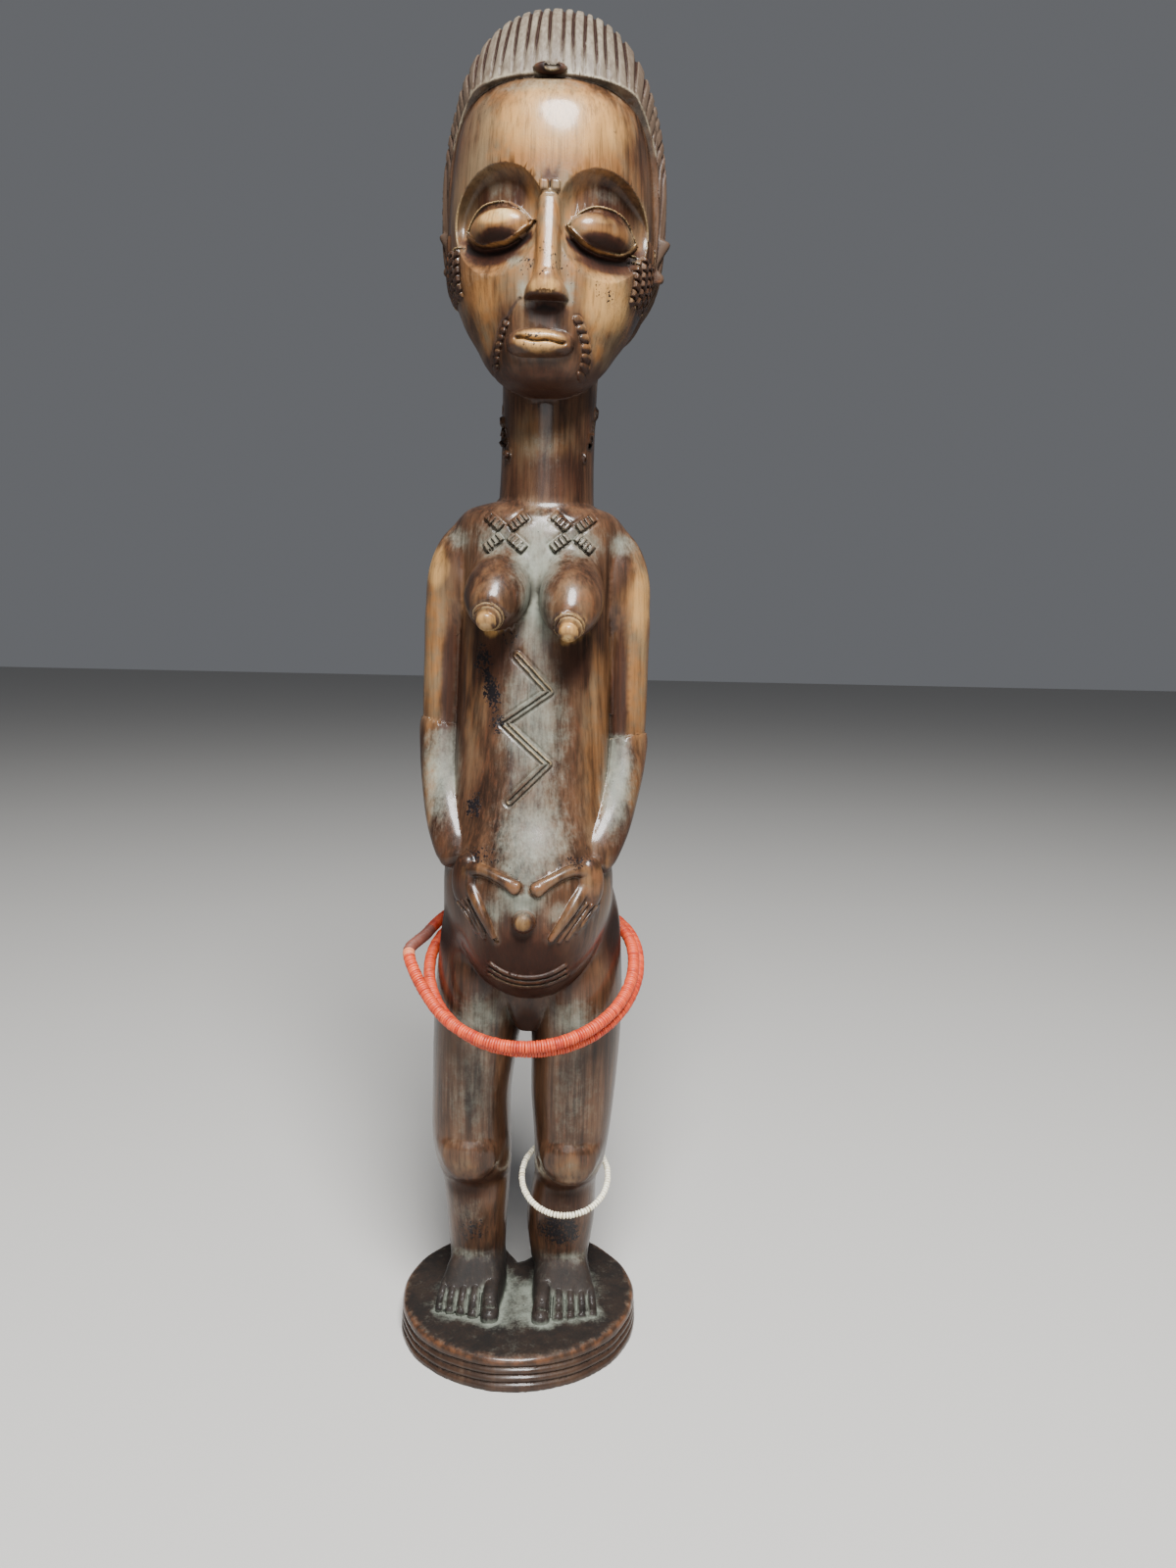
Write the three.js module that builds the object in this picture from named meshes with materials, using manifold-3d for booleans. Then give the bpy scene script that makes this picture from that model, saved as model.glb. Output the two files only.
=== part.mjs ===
// A standing female figure of the Baule people, carved with its round base from one block of wood.
// A string of thin red discs is wound twice around the hips, and a string of white beads hangs
// below one knee. Millimetres, +Z up, the face towards -Y, origin at the centre of the underside.
import * as THREE from 'three';
import { mergeVertices } from 'three/addons/utils/BufferGeometryUtils.js';
import Module from 'manifold-3d';

const wasm = await Module();
wasm.setup();

// Overall sizes
const BASE_RADIUS = 48;
const BASE_TOP = 13.5;
const LEAN = THREE.MathUtils.degToRad(0.95);

// Heights of the main parts of the body
const CROTCH = 127;
const BELLY_CENTRE = 178;
const CHIN = 362;
const SKULL_CENTRE = 425;

// Left is the viewer's left, -X, and right is +X.
const SIDES = [-1, 1];

// The row of numbers at a level, on a smooth curve through rows that start with their own level.
function rowAt(rows, level) {
  let next = rows.findIndex((row) => row[0] > level);
  if (next === -1) next = rows.length - 1;
  next = Math.max(next, 1);
  const before = rows[next - 1];
  const after = rows[next];
  const t = THREE.MathUtils.clamp((level - before[0]) / (after[0] - before[0]), 0, 1);
  const slope = (index, column) => {
    const low = rows[Math.max(index - 1, 0)];
    const high = rows[Math.min(index + 1, rows.length - 1)];
    return (high[column] - low[column]) / (high[0] - low[0]);
  };
  const run = after[0] - before[0];
  return before.map((value, column) => {
    const a = slope(next - 1, column) * run;
    const b = slope(next, column) * run;
    const rise = after[column] - value;
    return value + t * (a + t * (3 * rise - 2 * a - b + t * (a + b - 2 * rise)));
  });
}

// Levels from low to high, a given count of steps, both ends included.
function levels(low, high, steps) {
  return Array.from({ length: steps + 1 }, (_, i) => low + ((high - low) * i) / steps);
}

// A cosine or sine for a point on a rounded outline, fuller than an ellipse where power is over 2.
function fuller(value, power) {
  return Math.sign(value) * Math.abs(value) ** (2 / power);
}

// A flat oval ring at height z.
function oval(z, centre, halfWidth, front, back, sides, power = 2) {
  const middle = (front + back) / 2;
  const halfDepth = (back - front) / 2;
  return Array.from({ length: sides }, (_, i) => {
    const angle = (i * 2 * Math.PI) / sides;
    const x = fuller(Math.cos(angle), power);
    const y = fuller(Math.sin(angle), power);
    return new THREE.Vector3(centre + halfWidth * x, middle + halfDepth * y, z);
  });
}

// A closed skin over rings with the same count of points, each end closed from its middle.
function loft(rings) {
  const count = rings[0].length;
  const points = rings.flat();
  const faces = [];
  for (let ring = 0; ring + 1 < rings.length; ring += 1) {
    for (let i = 0; i < count; i += 1) {
      const a = ring * count + i;
      const b = ring * count + ((i + 1) % count);
      faces.push(a, b, b + count, a, b + count, a + count);
    }
  }
  for (const [start, turn] of [[0, 1], [points.length - count, -1]]) {
    const rim = points.slice(start, start + count);
    const middle = rim.reduce((sum, p) => sum.add(p), new THREE.Vector3()).divideScalar(count);
    const hub = points.push(middle) - 1;
    for (let i = 0; i < count; i += 1) {
      const pair = [start + ((i + 1) % count), start + i];
      if (turn < 0) pair.reverse();
      faces.push(hub, ...pair);
    }
  }
  const geometry = new THREE.BufferGeometry().setFromPoints(points);
  geometry.setIndex(faces);
  return geometry;
}

// A manifold solid from a closed geometry, with its faces turned outwards.
function solid(geometry) {
  const bare = geometry.clone();
  bare.deleteAttribute('normal');
  bare.deleteAttribute('uv');
  const merged = mergeVertices(bare, 1e-5);
  const vertProperties = new Float32Array(merged.attributes.position.array);
  const triVerts = new Uint32Array(merged.index.array);
  let volume = 0;
  const corner = (i) => new THREE.Vector3().fromArray(vertProperties, triVerts[i] * 3);
  for (let i = 0; i < triVerts.length; i += 3) {
    volume += corner(i).dot(corner(i + 1).cross(corner(i + 2)));
  }
  if (volume < 0) triVerts.reverse();
  return new wasm.Manifold(new wasm.Mesh({ numProp: 3, vertProperties, triVerts }));
}

// An ellipsoid with its centre and half axes, turned about the vertical.
function ellipsoid(centre, half, turn = 0, around = 16, up = 10) {
  const geometry = new THREE.SphereGeometry(1, around, up);
  geometry.rotateX(Math.PI / 2);
  geometry.scale(...half);
  geometry.rotateZ(turn);
  geometry.translate(...centre);
  return solid(geometry);
}

// An upright form through rows of height, half width, front and back.
function column(rows, centre, sides, power) {
  return solid(loft(rows.map(([z, halfWidth, front, back]) =>
    oval(z, centre, halfWidth, front, back, sides, power))));
}

// A round limb through points [x, y, z, half width, half depth], with flat ends.
function limb(stops, sides) {
  const rings = stops.map(([x, y, z, halfWidth, halfDepth], i) => {
    const here = new THREE.Vector3(x, y, z);
    const before = stops[Math.max(i - 1, 0)];
    const after = stops[Math.min(i + 1, stops.length - 1)];
    const along = new THREE.Vector3(after[0] - before[0], after[1] - before[1], after[2] - before[2]);
    along.normalize();
    const across = new THREE.Vector3(0, -1, 0.001).cross(along).normalize();
    if (Math.abs(along.y) > 0.9) across.set(1, 0, 0);
    const deep = along.clone().cross(across);
    return Array.from({ length: sides }, (_, k) => {
      const angle = (k * 2 * Math.PI) / sides;
      return here.clone()
        .addScaledVector(across, halfWidth * Math.cos(angle))
        .addScaledVector(deep, halfDepth * Math.sin(angle));
    });
  });
  return solid(loft(rings));
}

// A raised line of box section through points on the surface, mitred where it turns.
function raisedLine(points, width, depth) {
  const spots = points.map((point) => new THREE.Vector3(...point));
  const rings = spots.map((spot, i) => {
    const before = spots[Math.max(i - 1, 0)];
    const after = spots[Math.min(i + 1, spots.length - 1)];
    const into = new THREE.Vector2(spot.x - before.x, spot.z - before.z);
    const onward = new THREE.Vector2(after.x - spot.x, after.z - spot.z);
    if (i === 0) into.copy(onward);
    if (i === spots.length - 1) onward.copy(into);
    const bisector = into.normalize().add(onward.normalize()).normalize();
    const half = width / 2 / Math.max(bisector.dot(into), 0.3);
    const [sideX, sideZ] = [-bisector.y * half, bisector.x * half];
    return [[1, 1], [1, -1], [-1, -1], [-1, 1]].map(([side, deep]) => new THREE.Vector3(
      spot.x + side * sideX, spot.y + (deep * depth) / 2, spot.z + side * sideZ));
  });
  return solid(loft(rings));
}

function join(...pieces) {
  return pieces.flat(2).reduce((whole, piece) => whole.add(piece));
}

// Torso, from the hips to the shoulders: height, half width, front, back
const TORSO = [
  [140, 30, -22, 27],
  [165, 32, -34, 28],
  [190, 31.5, -40, 22],
  [220, 29.5, -33, 17],
  [250, 28.5, -28, 17],
  [280, 28, -25, 19],
  [303, 28.5, -23.5, 21],
  [314, 29.5, -21.5, 20.5],
  [320.5, 29, -19, 19.5],
  [324, 26, -16, 18.5],
  [326.5, 18, -14, 17],
];
const TORSO_POWER = 2.3;
const TRUNK_CENTRE = -0.9;
const BELLY = { centre: [1, -18, BELLY_CENTRE], half: [28, 27, 29.5] };

// The front surface of the trunk at a place seen from the front.
function trunkFront(x, z) {
  const [, halfWidth, front, back] = rowAt(TORSO, z);
  const across = Math.min(Math.abs((x - TRUNK_CENTRE) / halfWidth), 1);
  const reach = (1 - across ** TORSO_POWER) ** (1 / TORSO_POWER);
  const torso = (front + back) / 2 - (reach * (back - front)) / 2;
  const [cx, cy, cz] = BELLY.centre;
  const [hx, hy, hz] = BELLY.half;
  const inside = 1 - ((x - cx) / hx) ** 2 - ((z - cz) / hz) ** 2;
  const belly = cy - hy * Math.sqrt(Math.max(inside, 0));
  return Math.min(torso, inside > 0 ? belly : torso);
}

function onTrunk(x, z, height = 0) {
  return [x, trunkFront(x, z) - height, z];
}

// Trunk: torso with rounded belly, knob navel, and the flat wedge between the thighs
const torso = column(TORSO, TRUNK_CENTRE, 16, TORSO_POWER);
const belly = ellipsoid(BELLY.centre, BELLY.half, 0, 16, 8);
const NAVEL_RADIUS = 4.3;
const navel = ellipsoid(onTrunk(0.2, BELLY_CENTRE - 0.5, 0.8), [NAVEL_RADIUS, 3.4, NAVEL_RADIUS], 0, 8, 5);
const pubis = solid(loft([
  oval(CROTCH + 1, 1, 4, -22, 8, 8, 3),
  oval(CROTCH + 6, 1, 5, -25.5, 10, 8, 3),
  oval(CROTCH + 19, 1, 11.5, -28.5, 12, 8, 3),
]));
const trunk = join(torso, belly, navel, pubis);

// Legs, from the hip to the ankle: height, centre, half width, front, back.
// The two differ a little, because they were cut by eye.
const LEGS = [
  [
    [26, -17.5, 10.8, -9, 11.5],
    [45, -18.4, 11.7, -12, 14],
    [56, -19.2, 12.2, -14, 17],
    [64, -19.6, 12.7, -15, 15],
    [68.5, -20, 13.2, -19, 12.5],
    [74, -20.6, 13.8, -22, 11.5],
    [84, -21.4, 14.5, -23, 12.5],
    [100, -21.6, 14.7, -23.5, 17],
    [120, -20.2, 16.6, -24, 24],
    [138, -18.8, 18, -24.5, 31.5],
    [153, -18, 18, -24, 34.5],
    [170, -17, 17.2, -20, 31.5],
    [186, -16, 15.5, -14, 23],
  ],
  [
    [26, 15.8, 11.2, -9, 11.5],
    [45, 15.8, 13.6, -12, 15],
    [56, 16.5, 13, -14, 18],
    [64, 17.2, 12.5, -15, 16],
    [68.5, 17.8, 13, -19, 13],
    [74, 18.6, 13.8, -22, 12],
    [84, 19.4, 14.5, -23, 13],
    [100, 19.6, 15.8, -23.5, 17.5],
    [120, 19.5, 17.2, -24, 24],
    [138, 18.8, 18.2, -24.5, 31.5],
    [153, 18.2, 18, -24, 34.5],
    [170, 17.4, 17.2, -20, 31.5],
    [186, 16.2, 15.7, -14, 23],
  ],
];

const LEG_POWER = 2.1;

function leg(rows) {
  const rings = rows.map(([z, centre, halfWidth, front, back]) =>
    oval(z, centre, halfWidth, front, back, 12, LEG_POWER));
  return solid(loft(rings));
}

const KNEECAP = { height: 76, half: [8.6, 3.2, 9.2] };

function kneecap(rows) {
  const [, centre, , front] = rowAt(rows, KNEECAP.height);
  return ellipsoid([centre, front + 2.2, KNEECAP.height], KNEECAP.half, 0, 8, 6);
}

// Feet: distance from the front, inner and outer edge measured from the mid-line, and top
const FOOT = [
  [-18, 6.5, 31.5, 15.5],
  [-9, 6, 30.5, 23.5],
  [0, 5.6, 28.5, 31],
  [9, 6.5, 27.5, 30],
  [15, 9.5, 25, 24],
];
const TOE_ROOT = -10;
const TOES = [
  { x: 9.4, tip: -24.5, radius: 3.6 },
  { x: 16.6, tip: -22.4, radius: 2.4 },
  { x: 21.6, tip: -21, radius: 2.2 },
  { x: 26, tip: -20, radius: 2.1 },
  { x: 30, tip: -19, radius: 2 },
];

function foot(side) {
  const rings = FOOT.map(([y, inner, outer, top]) => {
    const middle = (inner + outer) / 2;
    const half = (outer - inner) / 2;
    const bottom = BASE_TOP - 2;
    const outline = [[1, 0], [0.97, 0.55], [0.72, 0.93], [0, 1], [-0.72, 0.93], [-0.97, 0.55], [-1, 0]];
    return outline.map(([across, up]) =>
      new THREE.Vector3(side * (middle + half * across), y, bottom + (top - bottom) * up));
  });
  const toes = TOES.map(({ x, tip, radius }) => limb([
    [side * (x * 0.93 + 1), TOE_ROOT, BASE_TOP + 6, radius * 0.85, radius * 0.85],
    [side * x, tip + radius * 1.4, BASE_TOP + radius * 0.7, radius, radius],
    [side * x, tip, BASE_TOP + radius * 0.4, radius * 0.6, radius * 0.6],
  ], 5));
  return join(solid(loft(rings)), toes);
}

const lowerBody = join(LEGS.map(leg), LEGS.map(kneecap), SIDES.map(foot));

// Base: a disc with shallow grooves around its side and a notch behind the heels
const BASE_GROOVES = 3;
const RIDGE_DEPTH = 1;
const BASE_CHAMFER = 1.6;

function basePlate() {
  const profile = [[0, 0], [BASE_RADIUS - 0.4, 0]];
  const lowest = 1.4;
  const pitch = (BASE_TOP - BASE_CHAMFER - lowest) / (BASE_GROOVES + 0.5);
  for (let groove = 0; groove < BASE_GROOVES; groove += 1) {
    const z = lowest + pitch * (groove + 0.5);
    profile.push([BASE_RADIUS - RIDGE_DEPTH - 0.25 * groove, z]);
    profile.push([BASE_RADIUS - 0.3 * groove, z + pitch / 2]);
  }
  profile.push([BASE_RADIUS - 3.2, BASE_TOP]);
  profile.push([0, BASE_TOP]);
  const lathe = new THREE.LatheGeometry(profile.map(([r, z]) => new THREE.Vector2(r, z)), 28);
  return solid(lathe.rotateX(Math.PI / 2));
}

const NOTCH_START = 17;
const NOTCH_HALF_WIDTH = 5.6;

function heelNotch() {
  const shape = new THREE.Shape();
  shape.moveTo(-1, NOTCH_START);
  shape.lineTo(NOTCH_HALF_WIDTH - 1, NOTCH_START + 7);
  shape.lineTo(NOTCH_HALF_WIDTH + 1, BASE_RADIUS + 2);
  shape.lineTo(-NOTCH_HALF_WIDTH - 3, BASE_RADIUS + 2);
  shape.lineTo(-NOTCH_HALF_WIDTH - 1, NOTCH_START + 6);
  const cut = new THREE.ExtrudeGeometry(shape, { depth: BASE_TOP + 2, bevelEnabled: false });
  return solid(cut.translate(0, 0, -1));
}

const base = basePlate().subtract(heelNotch());

// Breasts: pointed forms turned about an axis that points forwards and down
const BREAST_PROFILE = [
  [0, -4], [9, 0], [10.6, 8], [10.2, 15], [7.8, 21], [4.4, 25.4], [3.4, 26.2], [3.2, 29], [0, 30.2],
];
const NIPPLES = [[-15.8, -46, 281.3], [12.4, -46, 278.4]];
const BREAST_ROOT = { x: 12.8, y: -19, z: 298 };

function breast(tip, index) {
  const lathe = new THREE.LatheGeometry(BREAST_PROFILE.map(([r, y]) => new THREE.Vector2(r, y)), 10);
  const root = new THREE.Vector3(SIDES[index] * BREAST_ROOT.x, BREAST_ROOT.y, BREAST_ROOT.z);
  const along = new THREE.Vector3(...tip).sub(root);
  const length = BREAST_PROFILE.at(-1)[1];
  lathe.scale(1, along.length() / length, 1);
  lathe.applyQuaternion(new THREE.Quaternion().setFromUnitVectors(
    new THREE.Vector3(0, 1, 0), along.normalize()));
  return solid(lathe.translate(...root.toArray()));
}

// Shoulders, arms bent at the elbow, and the hands laid on the belly
const SHOULDER = { centre: [28.6, 1, 298.5], half: [14, 11.5, 20.5] };
const ARM = [
  [33.4, 1, 306, 8.8, 10.5],
  [33.9, 1, 275, 8.6, 9.4],
  [33.9, 0, 244, 8.5, 9.2],
  [34.4, 0, 243, 8.9, 10],
  [33.8, -6.5, 228, 8.4, 8.8],
  [29.1, -18, 210, 7.6, 7],
  [24.4, -27, 199, 7, 5.4],
  [21.4, -31, 191, 5.8, 3.6],
];
const ELBOW_DROP = [0, 3.5];

function arm(side, index) {
  const stops = ARM.map(([x, y, z, wide, deep]) => {
    const drop = Math.abs(z - 243.5) < 1 ? ELBOW_DROP[index] : 0;
    return [side * x + TRUNK_CENTRE, y, z - drop, wide, deep];
  });
  const [x, y, z] = SHOULDER.centre;
  const shoulder = ellipsoid([side * x + TRUNK_CENTRE, y, z], SHOULDER.half, 0, 10, 6);
  return shoulder.add(limb(stops, 9));
}

// Thumb and finger tips as seen from the front, on the left hand and on the right one
const HANDS = [
  {
    palm: [-21.5, 191], thumb: [[-20, 196.3], [-11, 195], [-2, 190.5]], finger: [[-18.6, 190], [-9, 172]],
    lines: [[[-20.2, 184], [-9.8, 170]], [[-22, 183], [-12.5, 170.8]], [[-23.7, 182.5], [-15.2, 171.6]]],
  },
  {
    palm: [22.3, 191.5], thumb: [[20.8, 197.5], [12, 195.6], [3.5, 190]], finger: [[20.8, 191], [9.6, 173]],
    lines: [[[21.8, 184.5], [11, 170.8]], [[23.3, 183.5], [14.8, 171.4]], [[25, 183], [18.4, 173.6]]],
  },
];

function hand({ palm, thumb, finger, lines }, index) {
  const side = SIDES[index];
  const back = ellipsoid(onTrunk(...palm, -1.5), [5.2, 4.6, 9.5], side * -0.45, 8, 4);
  const thumbStops = [2.6, 2, 2.6].map((radius, i) => [...onTrunk(...thumb[i], 0.3), radius, radius]);
  const [tipX, tipZ] = thumb[2];
  thumbStops.push([...onTrunk(tipX - side * 1.6, tipZ - 0.6), 1.4, 1.4]);
  const [root, tip] = finger;
  const middle = [(root[0] + tip[0]) / 2, (root[1] + tip[1]) / 2];
  const fingerStops = [root, middle, tip].map((spot, i) =>
    [...onTrunk(...spot, 0.6), 2.2 - 0.35 * i, 2 - 0.3 * i]);
  const rest = lines.map((line) => raisedLine(line.map((spot) => onTrunk(...spot, -0.5)), 1.8, 3));
  return join(back, limb(thumbStops, 5), limb(fingerStops, 5), rest);
}

const upperBody = join(NIPPLES.map(breast), SIDES.map(arm), HANDS.map(hand));

// Carved scars on the body: a double zigzag, three arcs under the navel, and a cross on each side
const ZIGZAG = [[-6.4, 269.8], [5.6, 257.5], [-10.2, 245.5], [6.2, 231.5], [-6.8, 218.5]];
const ZIGZAG_SPACING = 2.3;
const ZIGZAG_WIDTH = 1.1;
const SCAR_DEPTH = 3.2;
const SCAR_SUNK = 0.4;

function zigzag() {
  return [-0.5, 0.5].map((line) => {
    const shift = line * ZIGZAG_SPACING * 1.35;
    return raisedLine(ZIGZAG.map(([x, z]) => onTrunk(x, z + shift, -SCAR_SUNK)), ZIGZAG_WIDTH, SCAR_DEPTH);
  });
}

const SMILE = { centre: [1.6, 175], radius: 15.6, spacing: 2.1, spread: 0.95, lines: 3 };

function smile() {
  return levels(0, SMILE.lines - 1, SMILE.lines - 1).map((line) => {
    const radius = SMILE.radius + line * SMILE.spacing;
    const spots = levels(-SMILE.spread, SMILE.spread, 4).map((angle) => {
      const x = SMILE.centre[0] + radius * Math.sin(angle);
      return onTrunk(x, SMILE.centre[1] - radius * Math.cos(angle), -SCAR_SUNK);
    });
    return raisedLine(spots, ZIGZAG_WIDTH, SCAR_DEPTH);
  });
}

const CROSSES = [[-12, 314.8], [12, 315.4]];
const CROSS = { inner: [2.4, 2.2], outer: [7.4, 6.6], width: 3.2 };

function cross([cx, cz]) {
  return [[1, 1], [1, -1], [-1, 1], [-1, -1]].map(([right, up]) => {
    const [from, to] = [CROSS.inner, CROSS.outer].map(([x, z]) =>
      onTrunk(cx + right * x, cz + up * z, -SCAR_SUNK));
    return raisedLine([from, to], CROSS.width, SCAR_DEPTH);
  });
}

const scars = join(zigzag(), smile(), CROSSES.map(cross));

// Neck, and the head below the hair: height, half width, front, back
const NECK = [
  [315, 19, -17, 22],
  [326, 17.8, -15.5, 20],
  [345, 17.2, -15, 19.5],
  [380, 17.6, -16, 21],
];
const NECK_CENTRE = 1;
const HEAD = [
  [CHIN, 8, -31, -12],
  [365.5, 15, -34.5, -4],
  [372, 21, -36.6, 8],
  [379, 25, -37.6, 20],
  [386, 29.4, -38, 28],
  [393, 32.6, -38, 33],
  [400, 36.4, -38, 36],
  [413, 37.8, -37, 38.5],
  [430, 38.2, -36.8, 39.5],
  [445, 37.8, -36.2, 39],
  [455, 35.8, -33.6, 37.5],
  [463, 31.5, -27.5, 34],
];
const HEAD_POWER = 2.15;

function faceFront(x, z) {
  const [, halfWidth, front, back] = rowAt(HEAD, z);
  const across = Math.min(Math.abs(x / halfWidth), 1);
  const reach = (1 - across ** HEAD_POWER) ** (1 / HEAD_POWER);
  return (front + back) / 2 - (reach * (back - front)) / 2;
}

// Hair: rows of ridges from the hairline over the crown to the nape, each row in its own plane
const HAIR = {
  centre: 0.7, halfWidth: 40.4, rise: 71.5, drop: 60, front: 32, back: 45, power: 2.4,
  ridges: 25, depth: 1.2, core: 8,
};
const HAIR_END = THREE.MathUtils.degToRad(72);
const HAIRLINE = [
  [-60, 474], [-27, 463], [-20, 461.5], [-12, 456.5], [-3, 449], [1, 440], [2, 424], [3, 396],
  [12, 388], [26, 381], [60, 374], [60, 520], [-60, 520],
];

function hair() {
  const sink = 1 - HAIR.depth / HAIR.halfWidth;
  const core = HAIR.core / HAIR.halfWidth;
  const rings = levels(0.4, Math.PI * 1.2, 8).map((turn) => {
    const y = -fuller(Math.cos(turn), HAIR.power) * (Math.cos(turn) > 0 ? HAIR.front : HAIR.back);
    const z = fuller(Math.sin(turn), HAIR.power) * (Math.sin(turn) > 0 ? HAIR.rise : HAIR.drop);
    const arc = levels(-HAIR_END, HAIR_END, HAIR.ridges * 2).map((angle, i) => {
      const grow = i % 2 ? 1 : sink;
      const out = fuller(Math.cos(angle), HAIR.power) * grow;
      const x = HAIR.halfWidth * fuller(Math.sin(angle), HAIR.power) * grow;
      return new THREE.Vector3(HAIR.centre + x, y * out, SKULL_CENTRE + z * out);
    });
    for (const side of [1, -1]) {
      const x = HAIR.centre + side * HAIR.halfWidth;
      arc.push(new THREE.Vector3(x, y * core, SKULL_CENTRE + z * core));
    }
    return arc;
  });
  const outline = new THREE.Shape(HAIRLINE.map(([y, z]) => new THREE.Vector2(y, z)));
  const width = HAIR.halfWidth * 2 + 10;
  const slab = new THREE.ExtrudeGeometry(outline, { depth: width, bevelEnabled: false });
  slab.applyMatrix4(new THREE.Matrix4().makeBasis(
    new THREE.Vector3(0, 1, 0), new THREE.Vector3(0, 0, 1), new THREE.Vector3(1, 0, 0)));
  slab.translate(-width / 2, 0, 0);
  return solid(loft(rings)).intersect(solid(slab));
}

// Face: sunken sockets under arched brows, full eyes, a long nose, and oval lips with a slit
const EYES = [[-16.6, 414.8], [18, 413.6]];
const EYE_HALF = [12.2, 5.4, 7.3];
const SOCKET = { half: [16, 7, 17], up: 3, out: -3.2 };
const EYE_TURN = 0.24;
const NOSE = [
  [424, 3, -37.5],
  [414, 3.3, -40.5],
  [402, 3.9, -43.2],
  [395.5, 4.4, -45],
  [392.5, 6.4, -45],
  [389.5, 6.8, -44.5],
];
const NOSE_CENTRE = 1;
const MOUTH = { centre: [-0.7, 375.6], half: [10.8, 3.4, 4.2], slit: 0.9 };

function eyeSocket([x, z], index) {
  const centre = [x, faceFront(x, z) + SOCKET.out, z + SOCKET.up];
  return ellipsoid(centre, SOCKET.half, SIDES[index] * EYE_TURN, 12, 6);
}

function eye([x, z], index) {
  const centre = [x, faceFront(x, z) + 3.4, z];
  return ellipsoid(centre, EYE_HALF, SIDES[index] * EYE_TURN, 12, 6);
}

function nose() {
  const rings = NOSE.map(([z, halfWidth, front]) => {
    const back = -30;
    const side = front + 2.5;
    const outline = [[-1.15, back], [1.15, back], [1, side], [0.45, front], [-0.45, front], [-1, side]];
    return outline.map(([across, y]) => new THREE.Vector3(NOSE_CENTRE + across * halfWidth, y, z));
  });
  return solid(loft(rings));
}

function lips() {
  const [x, z] = MOUTH.centre;
  const centre = [x, faceFront(x, z) + 0.6, z];
  const slit = new THREE.BoxGeometry(MOUTH.half[0] * 1.5, 6, MOUTH.slit);
  slit.translate(x, centre[1] - 4, z - 0.1);
  return ellipsoid(centre, MOUTH.half, 0, 12, 6).subtract(solid(slit));
}

// Scars of small beads, as raised lines: beside the mouth, on the temples, between the brows,
// and on the sides of the neck
const CHEEK_ROWS = [
  [[-10.3, 385], [-15, 377], [-16, 371]],
  [[12.6, 383], [15, 376.5], [14.4, 370]],
];
const TEMPLE = { top: 415.5, bottom: 394, columns: [30.5, 33.6, 36.6] };
const BROW_SCAR = [[-2.4, 425.5], [4.4, 425.5]];
const NECK_ROW = { top: 362, bottom: 341, radius: 17.9, width: 3 };
const BEAD_LINE = 1.9;

function faceLine(spots, width = BEAD_LINE) {
  return raisedLine(spots.map(([x, z]) => [x, faceFront(x, z) + SCAR_SUNK, z]), width, SCAR_DEPTH);
}

function templePanel(side) {
  return TEMPLE.columns.map((reach) => {
    const share = reach / rowAt(HEAD, TEMPLE.top)[1];
    return faceLine([TEMPLE.bottom, TEMPLE.top].map((z) => [side * share * rowAt(HEAD, z)[1], z]));
  });
}

function neckRow(side) {
  const spots = levels(NECK_ROW.bottom, NECK_ROW.top, 2).map((z, i) => {
    const turn = THREE.MathUtils.degToRad(38 - 19 * i);
    const reach = NECK_ROW.radius;
    return [side * reach * Math.cos(turn) + NECK_CENTRE, 2 - reach * Math.sin(turn), z];
  });
  return raisedLine(spots, NECK_ROW.width, BEAD_LINE);
}

// Ears: a notched lobe on each side, with the braid's edge above it
const EAR = { y: 0, lobes: [[404.5, 39.8], [415.5, 42.8]] };

function ear(side) {
  return EAR.lobes.map(([z, reach]) =>
    ellipsoid([side * (reach - 3.4), EAR.y, z], [3.8, 4.2, 6.5], 0, 6, 4));
}

const LUG = { centre: [-0.4, 464.5], half: [6, 2.6, 2.2] };

function hairlineLug() {
  const [x, z] = LUG.centre;
  const ring = ellipsoid([x, -27.5, z], LUG.half, 0, 7, 4);
  return ring.subtract(ellipsoid([x, -30.6, z], [3.2, 2.4, 1.1], 0, 5, 3));
}

const skull = column(HEAD, 0, 18, HEAD_POWER).subtract(join(EYES.map(eyeSocket)));
const head = join(
  skull, column(NECK, NECK_CENTRE, 12, 2), hair(), EYES.map(eye), nose(), lips(), hairlineLug(),
  CHEEK_ROWS.map((row) => faceLine(row)), SIDES.map(templePanel), SIDES.map(neckRow),
  faceLine(BROW_SCAR, 2.6), SIDES.map(ear),
);

// A named mesh from a solid, with its own material.
function namedMesh(name, piece, color, roughness) {
  const { vertProperties, triVerts } = piece.getMesh();
  const geometry = new THREE.BufferGeometry();
  geometry.setAttribute('position', new THREE.BufferAttribute(new Float32Array(vertProperties), 3));
  geometry.setIndex(new THREE.BufferAttribute(new Uint32Array(triVerts), 1));
  geometry.computeVertexNormals();
  const mesh = new THREE.Mesh(geometry, new THREE.MeshStandardMaterial({ color, roughness, metalness: 0 }));
  mesh.name = name;
  return mesh;
}

// The body leans a little to its own left on an upright base.
function leaning(piece) {
  return piece.rotate([0, THREE.MathUtils.radToDeg(LEAN), 0]);
}

// Hip string: thin red discs on a cord wound twice around, lowest at the front. The two turns lie
// against each other and change places at the back, and the knot pulls one of them out on the left.
const HIP_STRING = {
  radius: 2.25, spacing: 2.55, centre: [0.6, -0.5], across: 41.3, forward: 41, back: 44.6, side: 152.4,
  dip: 21.8, rise: 12, power: 2.35,
};
const KNOT = { at: 0.27, reach: 0.022, out: 4.4, up: 6.5 };

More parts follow.
